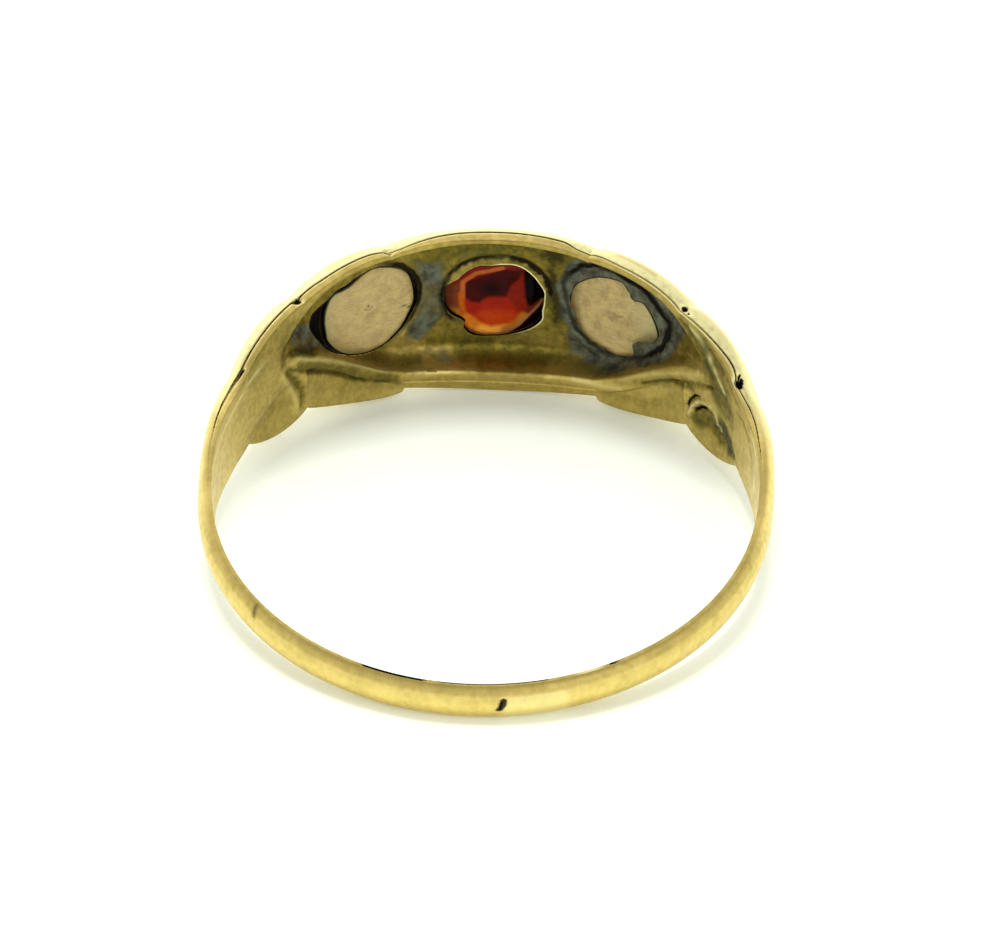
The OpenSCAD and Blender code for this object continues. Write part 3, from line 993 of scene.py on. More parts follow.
PATCHES = (
    Patch(((-17.5, 1.95), (-12.0, 1.6), (-12.1, 0.24), (-13.0, -0.68), (-14.6, -1.4), (-18.0, -1.6),
        (-19.8, -1.2), (-18.6, -0.6), (-17.3, 0.39)), soft=0.3, solder=0.72),
    Patch(((-17.0, -1.3), (-17.0, -2.0), (-24.5, -1.95), (-24.5, -1.4), (-20, -0.9)), soft=0.2,
        solder=0.15, dull=-0.25),
    Patch(((-10, -1.8), (-2, -1.85), (-2, -2.25), (-10, -2.2)), soft=0.12, dull=0.3),
    Patch(((56, 0.75), (60, 0.9), (66, 0.5), (66, 0.0), (60, 0.0), (56, 0.3)), soft=0.2, dull=0.35),
    Patch(((-42, -0.6), (-45, -0.2), (-49, 0.1), (-49, -0.3), (-44, -0.8)), soft=0.15, dull=0.25),
    Patch(((-48.5, 1.35), (-41.8, 1.05), (-41.3, 0.23), (-39.8, -0.5), (-48.2, 0.2), (-51.8, 0.91)),
        soft=0.15, solder=0.7),
    Patch(((10.9, 0.79), (12.6, 1.69), (16, 2.7), (19.4, 3.0), (27, 2.85), (35.9, 2.5), (42.5, 2.0),
        (42.4, 0.87), (40, 0.0), (36, -0.8), (29, -1.6), (21, -2.1), (14.8, -2.05), (13.2, -1.4),
        (13.2, -0.9), (11.5, -0.11)), soft=0.2, solder=0.85),
    Patch(((-17.5, -2.0), (-11.5, -2.1), (-9.5, -2.45), (-17.5, -2.42)), soft=0.14, solder=0.34,
        dull=-0.4),
    # Lighter along the right rib's crest: a painted highlight
    Patch(((10, -2.3), (20, -2.15), (30, -1.85), (36, -1.45), (41, -1.1), (41, -1.5), (34, -2.25),
        (24, -2.5), (10, -2.6)), soft=0.12, dull=-0.22),
    Patch(((-1, -1.96), (4.2, -1.5), (12.1, -1.3), (13, -1.9), (4.5, -2.0), (-1.8, -2.0)), soft=0.2,
        dull=-0.12),
    Patch(((-6, -2.3), (4, -2.35), (10.3, -2.2), (10.4, -2.4), (-5.5, -2.65)), soft=0.15, dull=0.2),
    Patch(((-16, 1.9), (-4, 2.0), (8, 1.9), (10, 1.5), (13, 1.6), (15, 3.2), (-14, 3.2)), soft=0.3,
        dull=0.35),
    Patch(((8.8, 1.6), (10.4, 1.4), (12, 0.8), (12.3, -0.6), (10.6, -0.9), (9.8, 0.2)), soft=0.2,
        dull=1.0),
    Patch(((8.5, 1.9), (10.5, 1.7), (12.5, 1.9), (14.5, 2.7), (12, 2.8), (9, 2.4)), soft=0.3,
        dull=0.6),
    Patch(((-50, 0.35), (-45, -0.05), (-38, -0.72), (-30, -1.6), (-24, -2.2), (-24, -2.6),
        (-31, -2.1), (-38, -1.3), (-46, -0.5), (-51, 0.1)), soft=0.12, dull=0.35),
    Patch(((33, -1.7), (40, -0.95), (47, -0.2), (52, 0.25), (46, 0.1), (39, -0.6), (32, -1.35)),
        soft=0.1, dull=0.15),
    # Darker below the ridge of the right-hand tab: a painted shadow
    Patch(((59.4, -0.35), (62, -0.25), (65.5, -0.5), (68, -1.1), (64, -1.4), (60.5, -1.0)), soft=0.15,
        dull=1.1),
    Patch(((45, 2.4), (52, 1.1), (57, 0.5), (64, 0.6), (62, 1.5), (54, 2.3)), soft=0.3, dull=0.4),
    Patch(((-52, 2.4), (-64, 2.2), (-72, 1.2), (-64, 0.9), (-55, 1.4)), soft=0.3, dull=0.12),
)
PITS = (
    Pit(angle=-24.9, out=0.24, radius=0.04, cut=0.03, ring=0.13, soot_and_shade=0.5),
    Pit(angle=-47.6, out=0.3, radius=0.13, cut=0.16),
    Pit(angle=-66.2, out=0.26, radius=0.05, cut=0.1),
    Pit(angle=-68.6, out=0.2, radius=0.05, cut=0.12),
    Pit(angle=-69.4, out=0.3, radius=0.04, cut=0.1),
    Pit(angle=19.2, out=0.4, radius=0.05, cut=0.06, soot_and_shade=0.45),
    Pit(angle=43.6, out=0.3, radius=0.12, cut=0.16),
    Pit(angle=45.2, out=0.22, radius=0.06, cut=0.1),
    Pit(angle=63.8, out=0.28, radius=0.15, cut=0.3),
    Pit(angle=62.6, out=0.36, radius=0.06, cut=0.12),
)


@dataclass(frozen=True)
class Mark:
    """A dark mark across the outside of the shank."""

    angle: float
    # Heights of its ends in mm, and shift along the shank for each mm of height
    low: float
    high: float
    lean: float
    # Strength of its dark, and depth in mm
    dark: float
    cut: float

    @property
    def middle(self) -> float:
        """Height of its middle."""
        return (self.low + self.high) / 2


MARKS = (
    Mark(angle=173.3, low=-0.04, high=0.36, lean=-0.3, dark=2.0, cut=0.08),
    Mark(angle=227.4, low=0.34, high=0.62, lean=0.5, dark=0.6, cut=0.03),
)


@dataclass(frozen=True)
class EdgeLineAndGlint:
    """A stretch of the shank's upper edge: its angles, its width, its dark line, and its pale, which
    is a painted glint.
    """

    start: float
    end: float
    width: float
    dark: float = 0.0
    pale: float = 0.0


EDGE_LINES_AND_GLINTS = (
    EdgeLineAndGlint(187, 202, width=0.08, dark=1.0),
    EdgeLineAndGlint(163, 187, width=0.035, dark=0.85),
    # A painted glint along the edge
    EdgeLineAndGlint(152.5, 159, width=0.08, pale=0.8),
    EdgeLineAndGlint(148.5, 152, width=0.08, dark=0.9),
)


@dataclass(frozen=True)
class Corner:
    """Corner between two lobes of the head's edge: angle and half width at either edge."""

    low_angle: float
    low_half: float
    up_angle: float
    up_half: float


@dataclass(frozen=True)
class Lobe:
    """A lobe of the head's edge between two corners."""

    # Power that holds the edge straight before it drops
    hold: float
    # Height of the swell in mm, power that fills it out below 1, and power that moves it forward
    swell: float
    fullness: float
    forward: float

    def half_width(self, start: float, end: float, t: float) -> float:
        """Half width of the head at a share of the way from the start to the end."""
        swell = math.sin(math.pi * t ** self.forward) ** self.fullness if t > 0 else 0.0
        return start + (end - start) * t ** self.hold + self.swell * swell


@dataclass(frozen=True)
class Sections:
    """The body's sections once round the ring, each field a column with a row for a section.

    The share is how far along its leaf a section is, 0 at a corner and on the shank.
    """

    side: np.ndarray
    low_angle: np.ndarray
    up_angle: np.ndarray
    low_half: np.ndarray
    up_half: np.ndarray
    share: np.ndarray
    leaf: np.ndarray

    def upper_angle(self) -> np.ndarray:
        """Angle of each section at the upper edge, lean and all."""
        fall = 2 * LEAN * np.cos(np.radians(np.minimum(self.up_angle, 90))) ** 2
        return self.side * self.up_angle - fall

    def angles(self, w: np.ndarray) -> np.ndarray:
        """Angles of points of the sections, leaning over towards the upper edge.

        Args:
            w: heights of the points, a row for each section.

        Returns:
            Their angles in degrees.
        """
        s = np.where(w < 0, w / self.low_half, w / self.up_half)
        a = between(self.low_angle, self.up_angle, (s + 1) / 2)
        lean = LEAN * (s + 1) * np.cos(np.radians(a)) ** 2
        return self.side * a - np.where(np.abs(a) < 90, lean, 0)


@dataclass
class Dressed:
    """A piece that is built in the ring frame and then handed to the frame."""

    node: str
    part: Part

    def hand_over(self, piece: bpy.types.Object, finish: bpy.types.Material) -> None:
        """Give a finished piece its material, its place and its part in the frame.

        Args:
            piece: the finished piece, still in the ring frame.
            finish: its material.
        """
        piece.data.transform(PLACE.matrix())
        piece.data.update()
        piece.data.materials.clear()
        piece.data.materials.append(finish)
        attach(piece, "root")
        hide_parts(self.node)
        LOG.info("%s: %d faces", self.node, len(piece.data.polygons))


@dataclass
class RingBody(Dressed):
    """Shank, hollow head and the three seats, one solid of soldered gold.

    Its tables run over the angle from the head. Lengths are in mm, and heights from the middle.
    """

    corners: tuple[Corner, ...] = (Corner(0, 3.36, 0, 3.42), Corner(22.8, 2.83, 22.3, 3.18),
                                   Corner(48.2, 1.98, 45.4, 2.62), Corner(68.9, 1.27, 65.6, 1.62))
    low_lobes: tuple[Lobe, ...] = (Lobe(1.8, 0, 1, 1), Lobe(1, 0.47, 0.6, 0.72),
                                   Lobe(1, 0.6, 0.8, 0.9))
    up_lobes: tuple[Lobe, ...] = (Lobe(3.4, 0, 1, 1), Lobe(1, 0.19, 0.8, 0.75),
                                  Lobe(1, 0.16, 0.7, 0.9))
    lobe_steps: tuple[int, int, int] = (56, 60, 50)
    shank_steps: int = 72
    shank_start: float = 70.5
    shank_width: Pairs = ((66, 1.3), (73, 1.38), (79, 1.36), (86, 1.18), (91, 0.98), (97, 0.8),
        (110, 0.66), (130, 0.62), (180, 0.6))
    # What the last corner has over join_half dies away from join_start over join_run degrees
    join_start: float = 68.0
    join_run: float = 5.0
    join_half: float = 1.33
    # Distances from the inside of the ring out to the front's middle and to its edges
    dome: Pairs = ((0, 1.8), (20, 1.78), (35, 1.68), (50, 1.5), (62, 1.2), (75, 0.86), (85, 0.6),
        (95, 0.5), (110, 0.48), (180, 0.48))
    rim: Pairs = ((0, 0.5), (30, 0.44), (60, 0.38), (75, 0.28), (90, 0.2), (110, 0.12), (180, 0.12))
    # Heights where the hollow starts at either wall, and of the foot of the rib below it
    up_crest: Pairs = ((0, 3.22), (20, 3.06), (28, 2.95), (35, 2.82), (41.5, 2.6), (46, 2.3),
        (50, 1.9), (54, 1.45), (57, 1.15), (180, 1))
    low_crest: Pairs = ((0, -2.5), (12, -2.45), (20, -2.25), (24, -2), (28.7, -1.6), (33.7, -1.05),
        (39, -0.45), (44.5, 0.1), (50, 0.55), (57, 0.8), (180, 0.3))
    rib_foot: Pairs = ((0, -2.95), (22.8, -2.6), (28.7, -2.25), (34, -1.7), (39, -1.05),
        (44.5, -0.45), (48.2, -0.1), (52, -0.3), (58, -0.5), (69, -0.9), (180, -0.9))
    # Depth of the hollow's floor beside either wall, as a share of the hollow
    up_depth: Pairs = ((0, 1), (30, 1), (40, 0.88), (47, 0.64), (52, 0.32), (57, 0), (180, 0))
    low_depth: Pairs = ((0, 1), (14, 0.96), (24, 0.82), (30, 0.7), (38, 0.55), (46, 0.36), (52, 0.18),
        (57, 0), (180, 0))
    # Depth of the dark line along the upper edge, and its cut, width and step
    line_at: Pairs = ((-90, 0.14), (-80, 0.24), (-70, 0.34), (-57, 0.36), (-48, 0.38), (-44, 0.38),
        (-40, 0.34), (-30, 0.34), (-26, 0.27), (-22.5, 0.2), (-19, 0.27), (-13.4, 0.39), (-8, 0.45),
        (0, 0.47), (8.5, 0.44), (13, 0.42), (17, 0.24), (20.6, 0.24), (27, 0.15), (36, 0.18),
        (40, 0.16), (45, 0.08), (49, 0.12), (55, 0.22), (60, 0.3), (65, 0.18), (71, 0.22), (80, 0.12),
        (90, 0.08))
    line_cut: float = 0.035
    line_width: float = 0.018
    line_step: float = 0.01
    # Depths of the hollow, of the rib and of the dish behind a leaf
    hollow: float = 1.1
    rib: float = 0.045
    dish: float = 0.18
    # Groove between two leaves, with its width in degrees, swell of a leaf and flat of the shank
    groove: float = 0.03
    groove_width: float = 1.1
    swell: float = 0.12
    flat: float = 0.05
    outer_steps: int = 34
    smoothing: int = 2

    # Levels of the upper edge: shares of the way from its front to the line, distances from the
    # line, and shares of the line's depth
    ABOVE_LINE = (0.02, 0.25, 0.5, 0.75)
    AT_LINE = (0.03, 0.015, 0, -0.015, -0.03)
    BELOW_LINE = (0.78, 0.65, 0.5, 0.35, 0.2, 0.1, 0.04)
    EDGE_LEVELS = len(ABOVE_LINE) + len(AT_LINE) + len(BELOW_LINE)
    # Levels of the lower edge, as shares of its thickness
    LOW_EDGE = (0.1, 0.5, 0.9)
    DISH_SHAPE = ((0, 0), (0.1, 1), (0.3, 0.98), (0.5, 0.8), (0.7, 0.45), (0.9, 0.08), (1, 0))

    def sections(self) -> Sections:
        """Lay the sections out, from the head's middle to the back and round again.

        Returns:
            The sections.
        """
        rows = []
        for leaf, steps in enumerate(self.lobe_steps):
            start, end = self.corners[leaf], self.corners[leaf + 1]
            for t in np.arange(steps) / steps:
                rows.append((between(start.low_angle, end.low_angle, t),
                             between(start.up_angle, end.up_angle, t),
                             self.low_lobes[leaf].half_width(start.low_half, end.low_half, t),
                             self.up_lobes[leaf].half_width(start.up_half, end.up_half, t), t, leaf))
        last, shank = self.corners[-1], len(self.lobe_steps)
        rows.append((last.low_angle, last.up_angle, last.low_half, last.up_half, 0, shank))
        steps = self.shank_steps
        for a in between(self.shank_start, 180, np.arange(steps) / (steps - 1)):
            wide = float(smooth_table(self.shank_width, np.array([a]))[0])
            join = max(0.0, 1 - (a - self.join_start) / self.join_run) ** 2
            rows.append((a, a, wide + join * (last.low_half - self.join_half),
                         wide + join * (last.up_half - self.join_half), 0, shank))
        half = np.array(rows)
        whole = np.vstack([half, half[-2:0:-1]])
        side = np.r_[np.ones(len(half)), -np.ones(len(half) - 2)]
        return Sections(side[:, None], *(column[:, None] for column in whole.T))

    def front(self, part: Sections) -> Run:
        """Shape the domed front, from the lower edge to the upper one.

        Args:
            part: the sections.

        Returns:
            Heights and depths, a row for each section.
        """
        dome, rim = (smooth_table(table, part.low_angle) for table in (self.dome, self.rim))
        phi = np.radians(np.linspace(-90, 90, self.outer_steps + 1))[None, :]
        s = np.sin(phi)
        share = np.abs(s) ** 1.5 * (np.abs(s) < 0.999)
        swell = np.where((part.leaf > 0) & (part.leaf < 3), self.swell * np.sin(np.pi * part.share), 0)
        valley = sum(near(part.low_angle, c.low_angle, self.groove_width) for c in self.corners[1:])
        relief = share * (swell * (1 - valley) - self.groove * valley)
        flat = rise(part.low_angle, 88, 104) * self.flat * rise(s, 0.1, 0.9)
        height = np.where(s < 0, s * part.low_half, s * part.up_half)
        return height, rim + (dome - rim) * np.cos(phi) + relief - flat

    def upper_edge(self, part: Sections) -> Run:
        """Shape the upper edge with its line, from its front to the finger.

        Args:
            part: the sections.

        Returns:
            Heights and depths, a row for each section.
        """
        rim = smooth_table(self.rim, part.low_angle)
        line = np.clip(smooth_table(self.line_at, part.upper_angle()), 0.06, rim - 0.04)
        levels = [between(rim, line, share) for share in self.ABOVE_LINE]
        levels += [line + distance for distance in self.AT_LINE]
        levels += [line * share for share in self.BELOW_LINE]
        depth = np.hstack(levels)
        room = np.clip((rim - line - 0.1) / 0.1, 0, 1)
        step = self.line_step * rise(depth - line, -0.01, 0.02) * room
        cut = self.line_cut * near(depth - line, 0, self.line_width) + step
        return part.up_half - cut * (1 - rise(part.low_angle, 84, 92)), depth

    def back(self, part: Sections) -> list[Run]:
        """Shape the back and the lower edge, from the upper edge round to the front.

        Args:
            part: the sections.

        Returns:
            Heights and depths of each run, a row for each section.
        """
        low_a, low_w, up_w = part.low_angle, part.low_half, part.up_half
        up = np.minimum(smooth_table(self.up_crest, low_a), 0.94 * up_w)
        low = np.clip(smooth_table(self.low_crest, low_a), -0.75 * low_w, up - 0.35 * up_w)
        foot = np.clip(smooth_table(self.rib_foot, low_a), -0.9 * low_w, low - 0.12 * low_w)
        deep_up = self.hollow * smooth_table(self.up_depth, low_a)
        deep_low = self.hollow * smooth_table(self.low_depth, low_a)
        up_run, low_run = np.minimum(0.9, 0.4 * (up - low)), np.minimum(0.4, 0.25 * (up - low))
        land = np.array([[0.02, 0.2, 0.5, 0.8, 0.97]])
        up_wall = (np.arange(1, 15) / 14)[None, :] ** 1.8
        floor = (np.arange(1, 60) / 60)[None, :]
        low_wall = (np.arange(10, 0, -1) / 10)[None, :] ** 1.6
        rib = np.array([[0, 0.06, 0.2, 0.35, 0.5, 0.65, 0.8, 0.94, 1]])
        dish = (np.arange(1, 27) / 27)[None, :]
        in_leaf = (part.leaf > 0) & (part.leaf < 3)
        dish_depth = self.dish * np.sqrt(np.sin(np.pi * part.share)) * in_leaf
        edge = np.array([self.LOW_EDGE])
        return [
            (between(up_w, up, land), 0 * up * land),
            (up - up_wall * up_run, deep_up * (1 - (1 - up_wall) ** 2.1) ** (1 / 2.1)),
            (up - up_run + (low + low_run - up + up_run) * floor, between(deep_up, deep_low, floor)),
            (low + low_wall * low_run, deep_low * np.sqrt(1 - (1 - low_wall) ** 2)),
            (between(low, foot, rib), self.rib * np.abs(2 * rib - 1) ** 3 * (low_a < 60) + 0 * low),
            (between(foot, -low_w, dish), dish_depth * smooth_table(self.DISH_SHAPE, dish)),
            (-low_w + 0 * edge, smooth_table(self.rim, low_a) * edge),
        ]

    def profile(self, part: Sections) -> Run:
        """Shape every section, up the front, over the edge and down the back.

        Args:
            part: the sections.

        Returns:
            Heights and depths, a row for each section.
        """
        runs = [self.front(part), self.upper_edge(part), *self.back(part)]
        w, r = (np.hstack([run[i] + np.zeros(part.side.shape) for run in runs]) for i in (0, 1))
        for _ in range(self.smoothing):
            for values in (w, r):
                values += 0.25 * (np.roll(values, 1, 1) + np.roll(values, -1, 1) - 2 * values)
        return w, r

    def carve(self, angle: np.ndarray, w: np.ndarray, r: np.ndarray) -> None:
        """Work the fine relief into the swept body: dents, strokes, notches and solder.

        Args:
            angle: angle of each point.
            w: its height, which changes at the upper edge.
            r: its depth, which changes inside.
        """
        front_end = self.outer_steps + 1
        top = slice(front_end, front_end + self.EDGE_LEVELS)
        inner = slice(front_end + self.EDGE_LEVELS, -len(self.LOW_EDGE))
        for pit in PITS:
            w[:, top] -= pit.cut * pit.mask(angle[:, top], r[:, top])
        for stroke in STROKES:
            r[:, inner] += stroke.cut * stroke.mask(angle[:, inner], w[:, inner])
        rad = np.radians(angle[:, inner])
        reach = INNER_R + r[:, inner]
        points = np.dstack([reach * np.sin(rad), reach * np.cos(rad), w[:, inner]]).reshape(-1, 3)
        sunk = np.zeros(len(points))
        for seam in SEAMS:
            marks = seam.marks(points)
            ditch = 0.06 * near(marks.away, 0, 0.07) - 0.03 * near(marks.away, 0.2, 0.1)
            sunk += np.minimum(marks.dark, 1) * ditch
        solder = patch_mask("solder", angle[:, inner], w[:, inner]).ravel()
        rough = solder > 0.05
        sunk[rough] += 0.035 * solder[rough] * grain(points[rough], 0.4)
        r[:, inner] += sunk.reshape(reach.shape) * (r[:, inner] > 0.1)

    def build(self) -> bpy.types.Object:
        """Model the whole body: bend a grid round, then add and cut the seats.

        Returns:
            The new piece, in the ring frame.
        """
        part = self.sections()
        w, r = self.profile(part)
        angle = part.angles(w)
        self.carve(angle, w, r)
        rad = np.radians(angle)
        points = np.dstack([(INNER_R + r) * np.sin(rad), (INNER_R + r) * np.cos(rad), w])
        points = np.concatenate([points, points[:1]], 0)
        points = np.concatenate([points, points[:, :1]], 1)
        deselect()
        bpy.ops.mesh.primitive_grid_add(x_subdivisions=w.shape[1], y_subdivisions=w.shape[0], size=1)
        piece = bpy.context.object
        piece.name = "dressed_ring_body"
        move_points(piece, points.reshape(-1, 3))
        close_up(piece)
        for seat in SEATS:
            boolean(piece, self.bezel(seat), "UNION")
        for seat in SEATS:
            boolean(piece, self.opening(seat), "DIFFERENCE")
        for mark in MARKS:
            boolean(piece, self.nick(mark), "DIFFERENCE")
        return piece

    def nick(self, mark: Mark) -> bpy.types.Object:
        """Model the small wedge that a mark is cut with, sharp inside and wide outside.

        Args:
            mark: the mark to cut.

        Returns:
            The new piece, in the ring frame.
        """
        deselect()
        bpy.ops.mesh.primitive_cube_add(size=1)
        piece = bpy.context.object
        piece.name = "nick"
        x, y, z = points_of(piece).T * 2
        w = mark.middle + z * (mark.high - mark.low) / 2
        outside = INNER_R + self.dome[-1][1]
        bulge = 0.36 * (w / self.shank_width[-1][1]) ** 2
        r = np.where(y < 0, outside - bulge - mark.cut, outside + 0.3)
        arc = x * np.where(y < 0, 0.01, 0.1) + mark.lean * (w - mark.middle)
        rad = np.radians(mark.angle) + arc / INNER_R
        move_points(piece, np.column_stack([r * np.sin(rad), r * np.cos(rad), w]))
        close_up(piece)
        return piece

    def bezel(self, seat: Seat) -> bpy.types.Object:
        """Turn the collet that goes round a stone, with its foot inside the dome.

        Args:
            seat: the stone's seat.

        Returns:
            The new piece, in the ring frame.
        """
        r, z, foot = seat.bezel_r, seat.top_z, seat.ledge_z - 0.08
        piece = turned("bezel", ((0, foot), (r + seat.flare, foot), (r, z - 0.06),
                                 (r - 0.02, z - 0.015), (r - 0.06, z), (r - 0.1, z), (0, z)))
        points = points_of(piece)
        upper = (points[:, 2] < foot + 0.01) & (points[:, 1] < 0)
        points[upper, 2] += seat.foot_slope * points[upper, 1]
        move_points(piece, points)
        piece.data.transform(seat.matrix())
        return piece

    def opening(self, seat: Seat) -> bpy.types.Object:
        """Turn the cut for a seat: ragged hole from the back, room for the stone and lip.

        Args:
            seat: the stone's seat.

        Returns:
            The new piece, in the ring frame.
        """
        room, skin = seat.room, seat.skin
        mouth = room - seat.lip
        piece = turned("opening", ((0, -1), (1, -1), (1, skin - 0.04), (1, skin - 0.02),
                                   (room - 0.02, skin), (room, seat.ledge_z + 0.1), (room, seat.lip_z),
                                   (mouth, seat.top_z), (mouth, seat.top_z + 0.5),
                                   (0, seat.top_z + 0.5)), 240)
        points = points_of(piece)
        _, turn = polar(points[:, 0], points[:, 1])
        far = points[:, 2] < -0.99
        points[far, 2] = smooth_table(seat.back, turn)[far]
        back = points[:, 2] < skin - 0.01
        taper = np.where(points[:, 2] > skin - 0.1, 0.985, 1.0)
        points[back, :2] *= (taper * smooth_table(seat.hole, turn))[back, None]
        points[back, :2] += points[back, 2:] * np.array(seat.slope)
        move_points(piece, points)
        piece.data.transform(seat.matrix())
        return piece

    def make(self) -> None:
        """Build the body, dress it and hand it over."""
        piece = self.build()
        WearAndLight(piece, self).paint(piece)
        smooth_to(piece, 38)
        self.hand_over(piece, GoldWearAndLight().make())


class WearAndLight:
    """Masks of tarnish, solder, soot and pale at each corner of the ring's body. Beside dulling, grime
    and metal bright from use, they hold painted shade and painted highlights.

    Attributes:
        edge: height over the upper edge, so 0 at the edge and less below it.
        outward: how far the surface faces away from the finger, from -1 to 1.
        top: mask of the flat upper edge.
        facing: mask of what faces the finger.
        head: mask of the head, without the shank.
    """

    # Mask values where no seam is near, and the farthest that a hole's edge or a foot counts
    NO_SEAM = (1.0, 1.0, 0.0, 0.0)
    HOLE_REACH = 1.5
    FOOT_REACH = 0.9
    # The front faces outwards by more than the first and the back by less than the second. What
    # is higher over a seat's skin than the third belongs to its bezel
    FRONT_FACING = 0.2
    BACK_FACING = 0.25
    WALL_RISE = 0.2
    # Strength of the darkening round a bezel's foot, and a distance from the foot where none shows
    FOOT_DARKENING = 0.42
    CLEAN = 0.35

    def __init__(self, piece: bpy.types.Object, body: RingBody) -> None:
        """Look at where each corner lies on the ring.

        Args:
            piece: the finished body, still in the ring frame.
            body: its sizes.
        """
        p = points_of(piece)
        self.points, self.w = p, p[:, 2]
        self.angle = np.degrees(np.arctan2(p[:, 0], p[:, 1]))
        self.around = np.abs(self.angle)
        self.depth = np.hypot(p[:, 0], p[:, 1]) - INNER_R
        normal = np.zeros(3 * len(p), np.float32)
        piece.data.vertices.foreach_get("normal", normal)
        normal = normal.reshape(-1, 3)
        self.outward = (normal[:, 0] * p[:, 0] + normal[:, 1] * p[:, 1]) / (self.depth + INNER_R)
        part = body.sections()
        up_at = part.upper_angle().ravel()
        order = np.argsort(up_at)
        self.edge = self.w - np.interp(self.angle, up_at[order], part.up_half.ravel()[order])
        self.top = rise(self.edge, -0.36, -0.3) * rise(normal[:, 2], 0.1, 0.4) * (self.depth < 0.62)
        self.line = np.clip(smooth_table(body.line_at, self.angle), 0.06, 0.5)
        self.facing = rise(-self.outward, -0.2, 0.3)
        self.head = 1 - rise(self.around, 62, 84)
        hollow = rise(self.depth, 0.02, 0.35) * self.facing * self.head
        # Darker where the metal faces the finger and most in the head's hollow: dulled metal, with
        # painted shade of the hollow
        self.tarnish_and_shade = 0.08 + self.facing * (0.1 + 0.4 * self.head) + 0.35 * hollow
        self.solder, self.soot_and_shade, self.pale = (np.zeros(len(p)) for _ in range(3))
        self.seams = np.tile(self.NO_SEAM, (len(p), 1))

    def darken(self, mask: np.ndarray) -> None:
        """Lay dark on, for grime and for painted shade, where it is stronger than what is there."""
        self.soot_and_shade = np.maximum(self.soot_and_shade, mask)

    def brighten(self, mask: np.ndarray) -> None:
        """Lay pale metal on, for metal bright from use, for the mend and for painted highlights, where
        that is stronger than what is there.
        """
        self.pale = np.maximum(self.pale, mask)

    def seats(self) -> None:
        """Mark the seats behind and in front, with the painted shade of their gaps and the painted
        highlights of their edges, and the stains between them.
        """
        nearest_hole = np.full(len(self.points), self.HOLE_REACH)
        nearest_foot = np.full(len(self.points), self.FOOT_REACH)
        for seam in SEAMS:
            q = seam.seat.local(self.points)
            marks = seam.marks(self.points)
            self.cavity(seam.seat, q, marks.edge)
            self.behind(seam.seat, q, marks, nearest_hole)
            self.in_front(seam.seat, q, nearest_foot)
            if seam.seat is GARNET_SEAT:
                _, turn = polar(q[:, 0], q[:, 1])
                collar = near(marks.edge, 0.12, 0.09) * rise(turn, 165, 190) * rise(-turn, -290, -240)
                self.tarnish_and_shade -= 0.12 * marks.level * collar
        on_floor = self.facing * rise(self.depth, 0.1, 0.4)
        self.solder = on_floor * patch_mask("solder", self.angle, self.w)
        self.tarnish_and_shade += (self.around < 120) * self.facing * patch_mask("dull", self.angle, self.w)

    def cavity(self, seat: Seat, q: np.ndarray, edge: np.ndarray) -> None:
        """Paint the gap round a stone black, as shade: the back of its skin and its walls.

        Args:
            seat: the stone's seat.
            q: the corners in the seat's frame.
            edge: their distances from the hole's edge.
        """
        reach, z = np.hypot(q[:, 0], q[:, 1]), q[:, 2]
        shelf = (reach < seat.room + 0.6) & (np.abs(z - seat.skin) < 0.045) & (edge < 0.01)
        walls = (reach < seat.room + 0.03) & (z > seat.skin - 0.005) & (z < seat.lip_z + 0.01)
        self.soot_and_shade = np.where((shelf & (self.outward < self.BACK_FACING)) | walls, 1.0, self.soot_and_shade)

    def behind(self, seat: Seat, q: np.ndarray, marks: SeamMarks, nearest: np.ndarray) -> None:
        """Write the seam of a hole into the masks of the corners that are nearest to it.

        Args:
            seat: the stone's seat.
            q: the corners in the seat's frame.
            marks: the seam's marks at the corners.
            nearest: each corner's distance from its nearest hole so far, which is kept up.
        """
        take = (marks.edge < nearest) & (marks.level > 0) & (self.outward < self.BACK_FACING)
        take &= q[:, 2] < seat.skin + self.WALL_RISE
        found = np.column_stack([HALF * marks.edge + EDGE_ZERO, HALF * marks.away + AWAY_ZERO,
                                 HALF * marks.dark, marks.edge_highlight])
        self.seams[take] = found[take]
        nearest[take] = marks.edge[take]

    def in_front(self, seat: Seat, q: np.ndarray, nearest: np.ndarray) -> None:
        """Write the darkening round the foot of a bezel into the masks of the front.

        Args:
            seat: the stone's seat.
            q: the corners in the seat's frame.
            nearest: each corner's distance from its nearest foot so far, which is kept up.
        """
        reach, z = np.hypot(q[:, 0], q[:, 1]), q[:, 2]
        flare = (seat.top_z - 0.06 - z) / (seat.top_z + 0.02 - seat.ledge_z)
        bezel = seat.bezel_r + seat.flare * np.clip(flare, 0, 1)
        own = (z > seat.skin + self.WALL_RISE) & (reach > seat.room + 0.05) & (reach < bezel + 0.02)
        foot = np.where(own & (z > seat.top_z - 0.1), self.CLEAN, np.abs(reach - bezel))
        dome = (self.outward > self.FRONT_FACING) & (z > -0.4) & (reach > bezel - 0.06)
        front = own | dome & (foot < nearest)
        foot_darkening = self.FOOT_DARKENING * rise(-foot, -0.6, -0.3)
        found = np.column_stack([np.ones_like(foot), HALF * foot + AWAY_ZERO, foot_darkening,
                                 np.zeros_like(foot)])
        self.seams[front] = found[front]
        nearest[front] = np.where(own, 0, foot)[front]

    def rim(self) -> None:
        """Draw the dark line, the painted highlight inside it and the pits of the upper edge, and
        paint highlights on the outer shoulder and on the top face beyond the line.
        """
        line = near(self.depth, self.line - 0.006, 0.026) * (1 - rise(self.around, 78, 92))
        self.darken(0.85 * self.top * line)
